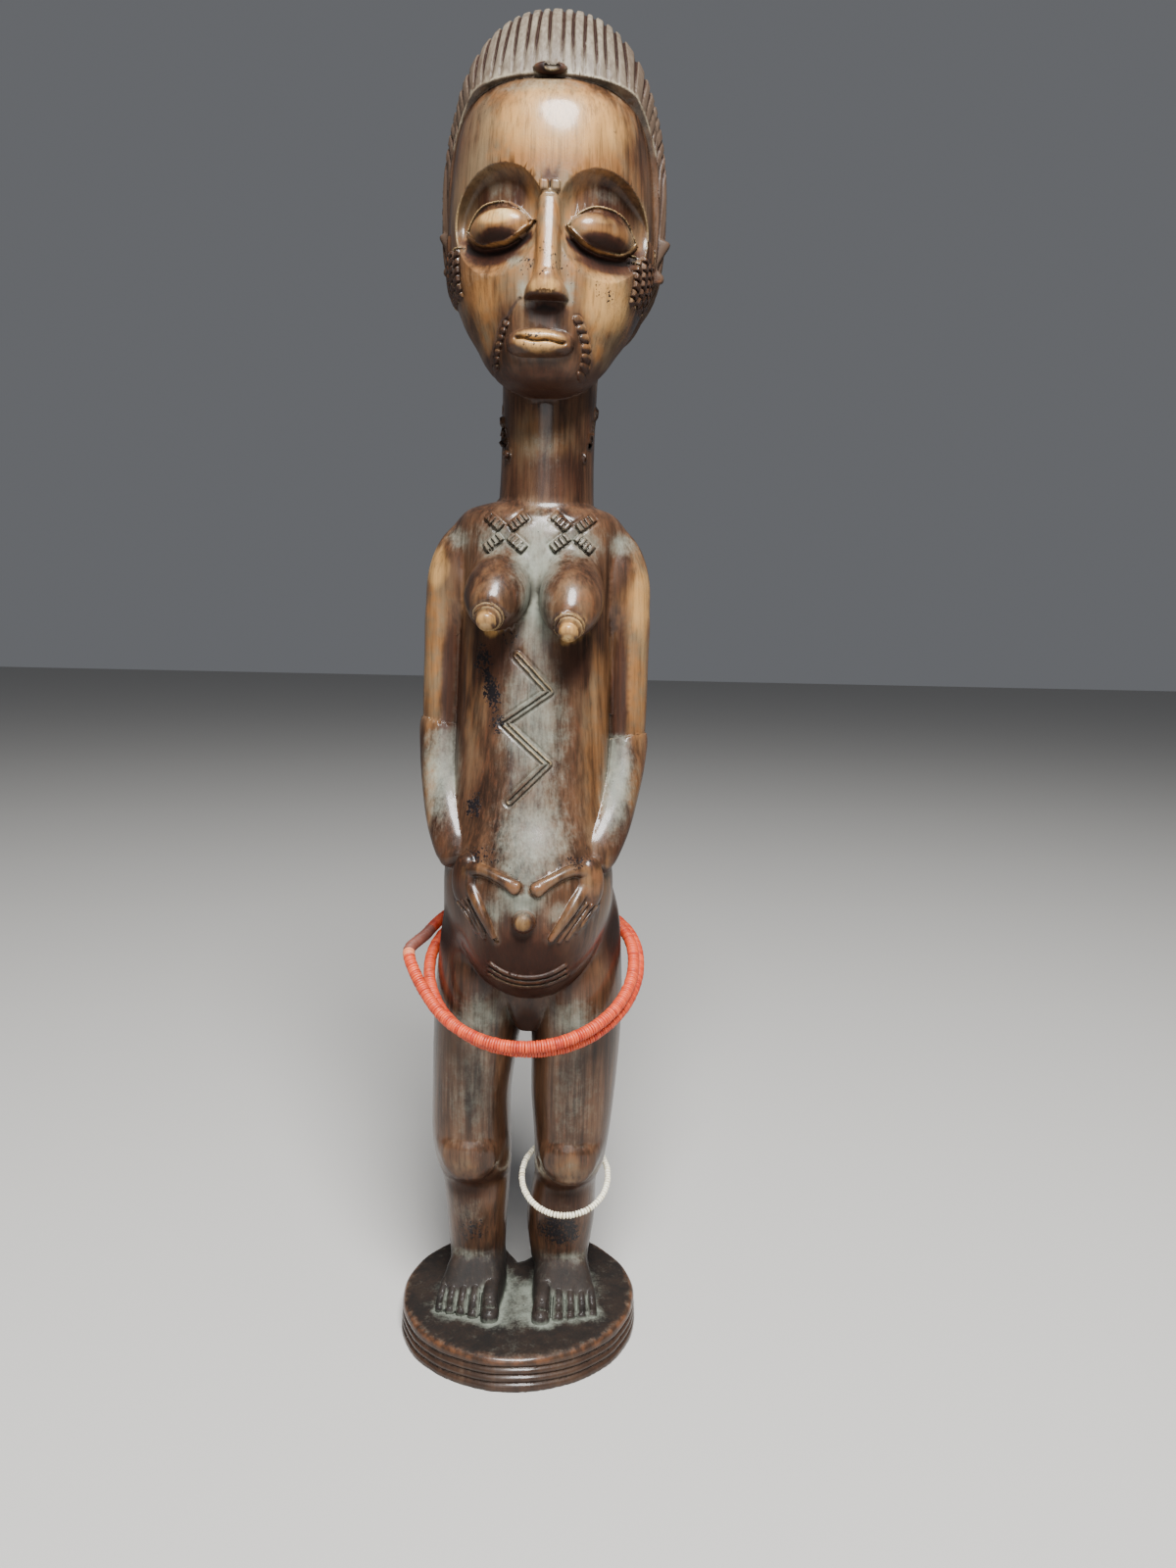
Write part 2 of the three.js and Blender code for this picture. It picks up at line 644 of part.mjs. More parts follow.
class HipTurns extends THREE.Curve {
  getPoint(t, target = new THREE.Vector3()) {
    const angle = t * 4 * Math.PI;
    const front = Math.sin(angle) < 0;
    const power = front ? 2 : HIP_STRING.power;
    const across = fuller(Math.cos(angle), power);
    const deep = fuller(Math.sin(angle), power);
    const turned = (angle - Math.PI) / 2 + 0.61 + 0.64 * Math.sin(angle - 0.28);
    const pull = Math.exp(-(((t - KNOT.at) / KNOT.reach) ** 2));
    const out = HIP_STRING.spacing * Math.cos(turned) + KNOT.out * pull;
    const up = HIP_STRING.spacing * Math.sin(turned) + KNOT.up * pull;
    return target.set(
      HIP_STRING.centre[0] + across * (HIP_STRING.across + out),
      HIP_STRING.centre[1] + deep * ((front ? HIP_STRING.forward : HIP_STRING.back) + out),
      HIP_STRING.side + deep * (front ? HIP_STRING.dip : HIP_STRING.rise) + up,
    );
  }
}

// Leg string: small white beads in one loose turn below the knee, lower at the front.
const LEG_STRING = { radius: 1.15, centre: [17.6, -3.6, 64.3], across: 17.6, deep: 17.5, tilt: 0.45 };

class LegTurn extends THREE.Curve {
  getPoint(t, target = new THREE.Vector3()) {
    const angle = t * 2 * Math.PI;
    const [x, y, z] = LEG_STRING.centre;
    const deep = LEG_STRING.deep * Math.sin(angle);
    return target.set(x + LEG_STRING.across * Math.cos(angle), y + deep, z + LEG_STRING.tilt * deep);
  }
}

const figure = base.add(leaning(join(trunk, lowerBody, upperBody, scars, head)));
const hipBeads = solid(new THREE.TubeGeometry(new HipTurns(), 56, HIP_STRING.radius, 5, true));
const legBeads = solid(new THREE.TubeGeometry(new LegTurn(), 22, LEG_STRING.radius, 4, true));

const model = new THREE.Group();
model.add(namedMesh('figure', figure, 0x5a4030, 0.45));
model.add(namedMesh('hip_beads', leaning(hipBeads), 0xb8382a, 0.5));
model.add(namedMesh('leg_beads', leaning(legBeads), 0xe6dccb, 0.4));

export default model;
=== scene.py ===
import math
from collections import namedtuple

import bpy
import numpy as np
from mathutils import Matrix, Vector


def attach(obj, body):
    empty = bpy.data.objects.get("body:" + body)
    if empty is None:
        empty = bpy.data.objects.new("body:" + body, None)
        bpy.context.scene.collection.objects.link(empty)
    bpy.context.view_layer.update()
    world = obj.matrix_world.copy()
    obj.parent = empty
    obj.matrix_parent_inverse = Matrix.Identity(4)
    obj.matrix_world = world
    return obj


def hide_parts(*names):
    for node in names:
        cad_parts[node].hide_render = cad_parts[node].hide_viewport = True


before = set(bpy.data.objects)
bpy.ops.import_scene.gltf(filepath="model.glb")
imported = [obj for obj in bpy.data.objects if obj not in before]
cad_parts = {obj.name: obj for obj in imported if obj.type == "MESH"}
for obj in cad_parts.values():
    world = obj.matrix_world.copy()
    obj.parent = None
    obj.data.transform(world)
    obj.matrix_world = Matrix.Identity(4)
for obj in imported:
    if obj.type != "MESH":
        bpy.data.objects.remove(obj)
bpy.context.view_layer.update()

# The block: figure and base are carved from one piece of dense brown hardwood. It is worked out here
# as a carver works it, in millimetres: forms are joined to the block or cut from it one by one, and
# the depth at a point says how far it is outside the wood (above nought) or inside (below nought).
Form = namedtuple("Form", "depth low high")
MM = 0.001
LEAN = math.radians(0.95)
AHEAD = -60.0
CURVE_STEPS = 40


def blended(a, b, radius):
    """The lesser of two depths, with the corner between them filled to a radius."""
    corner = np.maximum(radius - np.abs(a - b), 0)
    return np.minimum(a, b) - corner * corner / (4 * radius)


def smooth_step(value, low, high):
    """0 at low and 1 at high, with an eased passage between them."""
    t = np.clip((value - low) / (high - low), 0, 1)
    return t * t * (3 - 2 * t)


def bump(distance, half_width):
    """A rounded bump, 1 at its middle and 0 from its half width on."""
    return np.maximum(1 - (distance / half_width) ** 2, 0) ** 2


def unlean(points):
    """Places on the leaning body as if it stood upright."""
    x, y, z = points.T
    c, s = math.cos(LEAN), math.sin(LEAN)
    return np.column_stack([x * c - z * s, y, x * s + z * c])


def lean(points):
    """Places on the upright body as they are on the leaning one."""
    x, y, z = np.asarray(points, float).T
    c, s = math.cos(LEAN), math.sin(LEAN)
    return np.column_stack([x * c + z * s, y, z * c - x * s])


class Carving:
    """The block, as the list of forms that are joined to it, cut from it or raised on it."""

    FAR = 30.0
    MARGIN = 5.0
    SWAY = 1.0
    STEPS_TO_FRONT = 36

    def __init__(self):
        self.steps = []

    def _keep(self, kind, form, blend, upright=False):
        low = np.asarray(form.low, float) - self.MARGIN
        high = np.asarray(form.high, float) + self.MARGIN
        self.steps.append((kind, form.depth, low, high, blend, upright))

    def join(self, form, blend=0.6, upright=False):
        self._keep("join", form, blend, upright)

    def cut(self, form, blend=0.6, upright=False):
        self._keep("cut", form, blend, upright)

    def relief(self, height, low, high):
        """Raises the surface by height(points), or sinks it where that is negative."""
        self.steps.append(("relief", height, np.array(low, float), np.array(high, float), 0, False))

    def front_relief(self, height, places, reach, behind=0.0):
        """Relief on the front of the body, within reach of places given as x and z."""
        low, high = np.min(places, axis=0) - reach, np.max(places, axis=0) + reach
        self.relief(height, (low[0], AHEAD, low[1]), (high[0], behind, high[1]))

    def depth(self, points):
        order = np.argsort(points[:, 2])
        points = points[order]
        body = unlean(points)
        tops = points[:, 2]
        found = np.full(len(points), self.FAR)
        for kind, form, low, high, blend, upright in self.steps:
            place = points if upright else body
            start, end = np.searchsorted(tops, (low[2] - self.SWAY, high[2] + self.SWAY))
            near = place[start:end]
            here = start + np.flatnonzero(((near > low) & (near < high)).all(axis=1))
            if not len(here):
                continue
            spots = place[here]
            value = form(spots)
            radius = blend(spots) if callable(blend) else blend
            if kind == "relief":
                found[here] -= value
            elif kind == "join":
                found[here] = blended(found[here], value, radius)
            else:
                found[here] = -blended(-found[here], value, radius)
        back = np.empty(len(points))
        back[order] = found
        return back

    def slope(self, points, reach=0.04):
        """The direction in which the depth grows, with how fast, and the depth itself."""
        corners = np.array([[1, -1, -1], [-1, -1, 1], [-1, 1, -1], [1, 1, 1]], float)
        depths = [self.depth(points + corner * reach) for corner in corners]
        slope = sum(depth[:, None] * corner for depth, corner in zip(depths, corners)) / (4 * reach)
        return slope, sum(depths) / 4

    def settle(self, points, rounds=2):
        """Moves points onto the surface."""
        for _ in range(rounds):
            slope, depth = self.slope(points)
            shift = depth / np.maximum((slope * slope).sum(axis=1), 0.2)
            points = points - np.clip(shift, -1, 1)[:, None] * slope
        return points

    def front(self, x, z, height=0.0):
        """Places on the front of the body as it is cut so far, in upright body coordinates."""
        x, z = np.atleast_1d(np.asarray(x, float)), np.atleast_1d(np.asarray(z, float))
        spots = np.column_stack([x, np.full(len(x), AHEAD), z])
        for _ in range(self.STEPS_TO_FRONT):
            spots[:, 1] += np.clip(self.depth(lean(spots)), -2, 3) * 0.9
        spots[:, 1] -= height
        return spots


def curve(rows):
    """Rows of numbers that start with their own level, filled in along a smooth curve."""
    rows = np.asarray(rows, float)
    level = rows[:, 0]
    last = len(rows) - 1
    below = np.maximum(np.arange(len(rows)) - 1, 0)
    above = np.minimum(np.arange(len(rows)) + 1, last)
    slope = (rows[above, 1:] - rows[below, 1:]) / (level[above] - level[below])[:, None]
    fine = np.linspace(level[0], level[-1], CURVE_STEPS * last + 1)
    at = np.clip(np.searchsorted(level, fine, side="right") - 1, 0, last - 1)
    run = (level[at + 1] - level[at])[:, None]
    t = ((fine - level[at])[:, None]) / run
    a, b = slope[at] * run, slope[at + 1] * run
    rise = rows[at + 1, 1:] - rows[at, 1:]
    values = rows[at, 1:] + t * (a + t * (3 * rise - 2 * a - b + t * (a + b - 2 * rise)))
    return np.column_stack([fine, values])


def along(fine, level):
    """The numbers of a filled-in curve at each level."""
    return [np.interp(level, fine[:, 0], column) for column in fine.T[1:]]


def steepness(fine):
    """How steep a filled-in curve of one number is at each of its levels."""
    return np.column_stack([fine[:, 0], np.gradient(fine[:, 1], fine[:, 0])])


def through(stops):
    """A smooth line through stops."""
    return curve([(i, *stop) for i, stop in enumerate(stops)])[:, 1:]


def run_along(line):
    """How far along a line of places each of them is."""
    return np.r_[0, np.cumsum(np.linalg.norm(np.diff(line, axis=0), axis=1))]


def places_at(stops, run, line):
    """Places on a line, as far along it as the stops say."""
    return np.column_stack([np.interp(stops, run, values) for values in line.T])


def unit(vectors):
    """The same directions at length 1."""
    return vectors / np.maximum(np.linalg.norm(vectors, axis=1), 1e-6)[:, None]


block = Carving()

# Base: a round disc under the feet, left from the block, with three hand-cut grooves around its side
# and a notch behind the heels. Its edge is uneven and worn.
BASE_RADIUS = 48
BASE_TOP = 13.5
GROOVE_PITCH = 3
GROOVE_LOWEST = 1.4
GROOVE_TOP = 10.4
GROOVE_DEPTH = 1.5
GROOVE_SHARPNESS = 0.7
BASE_TAPER = 0.05
BASE_UPPER_EDGE = 3.2
BASE_LOWER_EDGE = 0.7
NOTCH = [(-1, 17), (4.6, 24), (6.6, 52), (-10.6, 52), (-8.8, 30)]


def outline(places, corners):
    """Distance from a closed outline in a plane, negative inside it."""
    start = np.asarray(corners, float)
    run = np.roll(start, -1, axis=0) - start
    away = places[:, None] - start
    share = np.clip((away * run).sum(-1) / (run * run).sum(-1), 0, 1)
    nearest = np.linalg.norm(away - share[..., None] * run, axis=-1).min(axis=1)
    above = away[..., 1] >= 0
    next_above = np.roll(above, -1, axis=1)
    turn = run[:, 0] * away[..., 1] - run[:, 1] * away[..., 0]
    crossing = (~above & next_above & (turn < 0)) | (above & ~next_above & (turn > 0))
    # a place is inside where a line from it crosses the outline an odd number of times
    inside = crossing.sum(axis=1) % 2 == 1
    return np.where(inside, -nearest, nearest)


def base_disc(p):
    x, y, z = p.T
    angle = np.arctan2(y, x)
    out = np.hypot(x, y)
    wander = 0.3 * np.sin(2 * angle + 1) + 0.2 * np.sin(5 * angle) + 0.1 * np.sin(11 * angle + 2)
    level = z + wander * smooth_step(z, 0.5, 3)
    ridge = np.abs(np.cos(math.pi * (level - GROOVE_LOWEST) / GROOVE_PITCH)) ** GROOVE_SHARPNESS
    grooved = smooth_step(GROOVE_TOP - level, -0.3, 0.3)
    side = BASE_RADIUS - BASE_TAPER * z - 0.35
    side = side - GROOVE_DEPTH * (1 - ridge) * grooved * smooth_step(z, 0.6, 2)
    side += 0.12 * np.sin(7 * angle + 0.4) + 0.08 * np.sin(17 * angle)
    top = BASE_TOP - 0.25 + 0.15 * np.sin(0.19 * x + 1) * np.sin(0.16 * y)
    disc = -blended(side - out, top - z, BASE_UPPER_EDGE)
    return -blended(-disc, z, BASE_LOWER_EDGE)


block.join(Form(base_disc, (-49, -49, 0), (49, 49, 14)), upright=True)
block.cut(
    Form(lambda p: outline(p[:, :2], NOTCH), (-11, 16, -4), (7, 53, 14.5)), blend=1.0, upright=True)

# Feet: flat wedges with five toes each, cut on the top of the base. The toes are rounded bars with
# deep grooves between them, and the big toe ends in a knob with a nail.
SIDES = (-1, 1)
FOOT = [
    # place from heel to toe, inner and outer side, height
    (-19, 7, 31.8, 15.5), (-14, 6.6, 31.2, 24.5), (-9.5, 6, 30.2, 32), (0, 5.6, 28.2, 35), (9, 6.5, 27, 34),
    (15, 9.5, 25, 25),
]
FOOT_POWER = 3.2
NAIL_HEIGHT = 0.3
TOE_ROOT = -12
# x, tip and half width of each toe
TOES = [(10, -25.2, 3.6), (16.6, -22.9, 2.25), (21.4, -21.6, 2.1), (25.9, -20.6, 2), (30, -19.6, 1.9)]


def limb(stops, power=2.0):
    """A rounded form along a curve through stops of x, y, z, half width and half depth."""
    rows = through(stops)[::5]
    middle, size = rows[:, :3], rows[:, 3:]
    way = np.gradient(middle, axis=0)
    step = np.linalg.norm(way, axis=1)
    way /= step[:, None]
    across = np.cross([0, -1, 0.001], way)
    level = np.abs(way[:, 1]) > 0.96
    across[level] = (1, 0, 0)
    across = unit(across)
    last = len(rows) - 1

    def depth(p):
        near = ((middle * middle).sum(axis=1) - 2 * p @ middle.T).argmin(axis=1)
        at = near + ((p - middle[near]) * way[near]).sum(-1) / step[near]
        at = np.clip(at, 0, last)
        low = np.minimum(at.astype(int), last - 1)
        share = (at - low)[:, None]
        here = [table[low] + share * (table[low + 1] - table[low]) for table in (middle, size, way, across)]
        away = p - here[0]
        half, deep_half = here[1].T
        deep = np.cross(here[2], here[3])
        sides = (away * here[3]).sum(-1) / half, (away * deep).sum(-1) / deep_half
        end = (away * here[2]).sum(-1) / np.minimum(half, deep_half)
        shares = np.abs(np.column_stack([*sides, end]))
        out = np.maximum((shares**power).sum(-1) ** (1 / power), 0.05)
        rate = shares ** (power - 1) / np.column_stack([half, deep_half, np.minimum(half, deep_half)])
        return (out - 1) / np.maximum(np.linalg.norm(rate, axis=1) * out ** (1 - power), 0.02)

    reach = size.max()
    return Form(depth, middle.min(axis=0) - reach, middle.max(axis=0) + reach)


def oval(across, deep, half, deep_half, power):
    """Distance from a rounded outline, for places given as shares of its two half widths."""
    out = np.maximum((across**power + deep**power) ** (1 / power), 0.1)
    slope = np.hypot(across ** (power - 1) / half, deep ** (power - 1) / deep_half)
    return (out - 1) / np.maximum(slope * out ** (1 - power), 0.01)


def foot(side):
    fine = curve(FOOT)
    bottom = BASE_TOP - 2

    def depth(p):
        inner, outer, top = along(fine, p[:, 1])
        half, rise = (outer - inner) / 2, top - bottom
        across = np.abs(side * p[:, 0] - (inner + outer) / 2) / half
        up = np.maximum(p[:, 2] - bottom, 0) / rise
        beyond = np.maximum(FOOT[0][0] - p[:, 1], p[:, 1] - FOOT[-1][0])
        return -blended(-oval(across, up, half, rise, FOOT_POWER), -beyond, 1.5)

    reach = sorted([side * 4, side * 33])
    return Form(depth, (reach[0], -19, BASE_TOP - 3), (reach[1], 16, 32))


for side in SIDES:
    block.join(foot(side), blend=0.5)
    for x, tip, radius in TOES:
        toe = limb([
            (side * (x * 0.93 + 1), TOE_ROOT, BASE_TOP + 7.8, radius * 0.85, radius * 0.9),
            (side * (x * 0.97 + 0.5), (TOE_ROOT + tip) / 2, BASE_TOP + 5.2, radius * 0.9, radius * 1.1),
            (side * x, tip + radius * 1.1, BASE_TOP + radius * 0.55, radius, radius * 0.95),
            (side * x, tip + radius * 0.4, BASE_TOP + radius * 0.35, radius * 0.95, radius * 0.8),
        ], power=2.3)
        block.join(toe, blend=0.35)
        nail_z = BASE_TOP + radius * 1.25
        block.relief(
            lambda p, x=side * x, y=tip + radius * 0.7, r=radius: NAIL_HEIGHT * smooth_step(
                0.62 * r - np.hypot(p[:, 0] - x, (p[:, 1] - y) * 0.8), 0, 0.3),
            (side * x - radius, tip - 1, nail_z - 2), (side * x + radius, tip + 2.2 * radius, nail_z + 3))

# Legs: round columns, fuller at the thighs and calves and bent a little at the knees, each knee with
# a kneecap that stands out at its lower edge. The two differ, because they were cut by eye.
LEG_POWER = 2.1
LEG_LEFT = [
    # height, centre, half width, front and back
    (26, -17.4, 10.9, -9, 11.5), (45, -18, 12.1, -12, 14), (56, -18.4, 13, -14, 17),
    (64, -18.7, 13.6, -15, 15), (68.5, -18.9, 14.3, -19, 12.5), (74, -19.5, 14.9, -22, 11.5),
    (84, -20.4, 15.5, -23, 12.5), (100, -20.9, 15.4, -23.5, 17), (120, -20, 16.8, -24, 24),
    (138, -18.8, 18, -24.5, 31.5), (153, -18, 18, -24, 34.5), (170, -17, 17.2, -20, 31.5),
    (186, -15.4, 14.5, -12, 21.5), (198, -14, 11, -8, 16),
]
LEG_RIGHT = [
    (26, 15.8, 11.2, -9, 11.5), (45, 15.8, 13.6, -12, 15), (56, 16.5, 13, -14, 18),
    (64, 17.2, 12.5, -15, 16), (68.5, 17.8, 13, -19, 13), (74, 18.6, 13.8, -22, 12),
    (84, 19.1, 14.8, -23, 13), (100, 19, 16.4, -23.5, 17.5), (120, 19.3, 17.4, -24, 24),
    (138, 18.8, 18.2, -24.5, 31.5), (153, 18.2, 18, -24, 34.5), (170, 17.4, 17.2, -20, 31.5),
    (186, 15.4, 14.5, -12, 21.5), (198, 14, 11, -8, 16),
]
KNEECAP_HEIGHT = 76.5
KNEECAP_HALF = (9.4, 3.4, 8.6)
KNEECAP_SUNK = 2.4


def column(rows, power, ends=2.0, centre=None):
    """An upright form through rows of height, centre, half width, front and back.

    Rows without a centre are given the one that is named.
    """
    if centre is not None:
        rows = [(height, centre, *rest) for height, *rest in rows]
    fine = curve(rows)
    rows = np.asarray(rows, float)

    def depth(p):
        middle, half, front, back = along(fine, p[:, 2])
        deep_half = (back - front) / 2
        across = np.abs(p[:, 0] - middle) / half
        deep = np.abs(p[:, 1] - (front + back) / 2) / deep_half
        beyond = np.maximum(rows[0, 0] - p[:, 2], p[:, 2] - rows[-1, 0])
        return -blended(-oval(across, deep, half, deep_half, power), -beyond, ends)

    low = ((rows[:, 1] - rows[:, 2]).min(), rows[:, 3].min(), rows[0, 0])
    high = ((rows[:, 1] + rows[:, 2]).max(), rows[:, 4].max(), rows[-1, 0])
    return Form(depth, low, high)


def ellipsoid(centre, half, turn=0.0):
    """An ellipsoid with its centre and half axes, turned about the vertical."""
    centre, half = np.array(centre, float), np.array(half, float)
    c, s = math.cos(turn), math.sin(turn)

    def depth(p):
        x, y, z = (p - centre).T
        place = np.column_stack([x * c + y * s, y * c - x * s, z]) / half
        out = np.linalg.norm(place, axis=1)
        return (out - 1) * out / np.maximum(np.linalg.norm(place / half, axis=1), 1e-3)

    reach = np.array([half[:2].max(), half[:2].max(), half[2]]) if turn else half
    return Form(depth, centre - reach, centre + reach)


for rows in (LEG_LEFT, LEG_RIGHT):
    block.join(column(rows, LEG_POWER), blend=1.6)
    fine = curve(rows)
    knee_centre, _, knee_front, _ = along(fine, KNEECAP_HEIGHT)
    kneecap = ellipsoid((knee_centre, knee_front + KNEECAP_SUNK, KNEECAP_HEIGHT), KNEECAP_HALF)
    block.join(
        kneecap, blend=lambda p: 0.8 + 7 * smooth_step(p[:, 2], 68, 82) * smooth_step(89 - p[:, 2], 0, 6))

# Trunk: a long rounded torso with a full belly, and under the belly's lower edge a flat wedge between
# the thighs.
TORSO_POWER = 2.3
TRUNK_CENTRE = -0.9
TORSO = [
    # height, half width, front and back
    (140, 30, -19, 22), (152, 31.4, -23.5, 26.5), (168, 32, -34, 28), (190, 31.5, -40, 22),
    (220, 29.5, -33, 17), (250, 28.5, -28, 17), (280, 28, -25, 19), (303, 28.5, -23.5, 21),
    (314, 29.5, -21.5, 20.5), (320.5, 29, -19, 19.5), (324, 26, -16, 18.5), (326.5, 18, -14, 17),
]
BELLY = {"centre": (1, -18, 178.5), "half": (28, 27, 35.5)}
CROTCH = 127
PUBIS = [(CROTCH + 0.5, 1, 4.2, -15, 8), (CROTCH + 7, 1, 8, -18.6, 10), (CROTCH + 22, 1, 15, -23, 12)]


def softer_above(narrow, extra, low, high):
    """A blend radius that grows by extra between two heights."""
    return lambda p: narrow + extra * smooth_step(p[:, 2], low, high)


block.join(column(TORSO, TORSO_POWER, ends=1.5, centre=TRUNK_CENTRE), blend=2.5)
block.join(ellipsoid(BELLY["centre"], BELLY["half"]), blend=softer_above(0.8, 7, 160, 190))
block.join(column(PUBIS, 4.0, ends=1.0), blend=0.4)

# Breasts: pointed forms that hang a little, cut from the same block, each with a knob nipple and two
# thin rings around its root.
BREAST = [
    (-4, 8), (0, 10.2), (8, 11.5), (15, 10.9), (21, 8.2), (23.6, 6.3), (24.2, 5.1), (24.9, 5.7), (25.5, 4.4),
    (26.2, 5), (26.9, 3.1), (28.4, 3.5), (30.2, 3),
]
BREAST_ROOT = (12.8, -19, 298)
NIPPLES = [(-15.8, -46, 281.3), (12.4, -46, 278.4)]


def turned(rows, root, tip):
    """A form turned about the line from root to tip, through rows of distance along it and radius."""
    fine = curve(rows)
    steep = steepness(fine)
    root, tip = np.array(root, float), np.array(tip, float)
    length = np.linalg.norm(tip - root)
    axis = (tip - root) / length
    scale = length / rows[-1][0]
    widest = max(radius for _, radius in rows)

    def depth(p):
        away = p - root
        reach = away @ axis
        out = np.linalg.norm(away - reach[:, None] * axis, axis=1)
        level = reach / scale
        side = (out - along(fine, level)[0]) / np.hypot(1, along(steep, level)[0])
        beyond = np.maximum(rows[0][0] - level, level - rows[-1][0]) * scale
        return -blended(-side, -beyond, 2.4)

    return Form(depth, np.minimum(root, tip) - widest, np.maximum(root, tip) + widest)


for side, tip in zip(SIDES, NIPPLES):
    root = (side * BREAST_ROOT[0], *BREAST_ROOT[1:])
    block.join(turned(BREAST, root, tip), blend=softer_above(0.8, 4.5, 284, 306))

# Shoulders and arms: the arms lie along the body with a groove between, bent at the elbow, where the
# forearm starts with a step like a cuff and narrows to the wrist on the belly.
SHOULDER = {"centre": (25.5, 1, 296.5), "half": (16, 12.2, 23.5)}
ARM = [
    # x, y, z, half width and half depth, from the shoulder to the wrist
    (25.5, 1, 308, 7.6, 10), (31.4, 1, 299, 8.6, 10.6), (33.7, 1, 286, 8.7, 10.2),
    (33.9, 1, 272, 8.6, 9.4), (34.1, 0.3, 254, 8.5, 9.2), (34, 0, 245, 8.5, 9.3),
    (34.5, -0.3, 242.6, 9, 10.2), (34.2, -3, 236, 8.8, 9.8), (33.2, -8, 226, 8.4, 8.7),
    (29.9, -17.6, 211, 8.2, 7.4), (26.4, -24.4, 202, 7.9, 6), (24.8, -26.8, 198.8, 7.3, 4.6),
]
ELBOW = 243.5
ELBOW_DROP = (0, 3.2)

for side, drop in zip(SIDES, ELBOW_DROP):
    x, y, z = SHOULDER["centre"]
    shoulder = ellipsoid((side * x + TRUNK_CENTRE, y, z), SHOULDER["half"])
    block.join(shoulder, blend=softer_above(0.6, 5, 304, 322))
    stops = [
        (side * x + TRUNK_CENTRE, y, z - drop * bump(z - ELBOW, 26), wide, deep)
        for x, y, z, wide, deep in ARM]
    block.join(limb(stops, power=2.3), blend=softer_above(0.6, 2.4, 270, 300))

# Hands and navel: the hands are laid on the belly, each with a flat thumb that ends in a broad nail,
# a long pointed first finger, and three fine raised lines for the other fingers. The navel is a knob
# between them, in a shallow ring.
HANDS = [
    {
        "palm": (-21.4, 190.4), "turn": -0.5,
        "thumb": [(-21, 194.6), (-15.6, 195.4), (-9, 193.4), (-3, 190.6)],
        "finger": [(-19.2, 188.5), (-15.2, 181), (-9.6, 170.8)],
        "lines": [
            ((-21.2, 184.3), (-14, 172.6)), ((-22.9, 183.2), (-14.4, 171)), ((-24.6, 182), (-17, 172.4))],
    },
    {
        "palm": (22.4, 190.6), "turn": 0.5,
        "thumb": [(21.6, 195.4), (16.4, 196.2), (9.6, 193.4), (4.2, 190)],
        "finger": [(20.4, 189.4), (16, 181.6), (10, 172.4)],
        "lines": [((22, 184), (12.8, 171)), ((24, 183.4), (15.6, 171.6)), ((25.8, 182.2), (18.8, 174))],
    },
]
PALM_HALF = (5.8, 4.6, 10)
PALM_SUNK = 1.8
# half width and half depth from the root to the tip, and how far the middle stands out
THUMB_SIZE = [(2.8, 2.6), (2.1, 2.1), (1.9, 1.9), (2.7, 1.7)]
THUMB_RAISED = 0.7
THUMB_NAIL = {"radius": 2.3, "height": 0.22}
FINGER_SIZE = [(2.8, 2.4), (1.9, 1.9), (1.0, 1.2)]
FINGER_RAISED = (-0.8, 0.9, 0.8)
NAVEL = (0.2, 178.8)
NAVEL_HALF = (4.7, 4.3, 4.5)
NAVEL_RING = {"radius": 5.6, "half": 3.4, "depth": 0.6}


def on_line(p, corners):
    """Distance from an open line of corners, as seen from the front."""
    start = np.asarray(corners, float)
    run = start[1:] - start[:-1]
    away = p[:, [0, 2]][:, None] - start[:-1]
    share = np.clip((away * run).sum(-1) / (run * run).sum(-1), 0, 1)
    return np.linalg.norm(away - share[..., None] * run, axis=-1).min(axis=1)


def scar(corners, profile, reach=4.0, behind=0.0):
    """Relief along a line on the front of the body, as profile(distance) says."""
    block.front_relief(lambda p: profile(on_line(p, corners)), corners, reach, behind)


def flat_ridge(height, half):
    """The profile of a ridge with a flat top."""
    return lambda d: height * smooth_step(half - d, 0, 0.6)


def thumb_nail(centre_x, centre_z):
    def height(p):
        out = np.hypot((p[:, 0] - centre_x) * 0.85, p[:, 2] - centre_z)
        return THUMB_NAIL["height"] * smooth_step(THUMB_NAIL["radius"] - out, 0, 0.4)

    return height


worn_lines = []
for hand, side in zip(HANDS, SIDES):
    palm = block.front(*[[value] for value in hand["palm"]], height=-PALM_SUNK)[0]
    thumb = block.front(*zip(*hand["thumb"]), height=THUMB_RAISED)
    finger = block.front(*zip(*hand["finger"]), height=np.array(FINGER_RAISED))
    block.join(ellipsoid(palm, PALM_HALF, hand["turn"]), blend=0.7)
    block.join(limb([(*spot, *size) for spot, size in zip(thumb, THUMB_SIZE)]), blend=0.5)
    block.join(limb([(*spot, *size) for spot, size in zip(finger, FINGER_SIZE)]), blend=0.5)
    x, z = hand["thumb"][-1]
    block.front_relief(thumb_nail(x + side * 0.4, z), [(x, z)], 4, behind=-20)
    worn_lines += hand["lines"]
    for line in hand["lines"]:
        scar(line, flat_ridge(0.55, 0.95), reach=2)

navel = block.front([NAVEL[0]], [NAVEL[1]], height=0.7)[0]
block.join(ellipsoid(navel, NAVEL_HALF), blend=0.4)


def navel_ring(p):
    out = np.hypot(p[:, 0] - NAVEL[0], p[:, 2] - NAVEL[1])
    return -NAVEL_RING["depth"] * bump(out - NAVEL_RING["radius"], NAVEL_RING["half"])


block.front_relief(navel_ring, [NAVEL], 9, behind=-20)

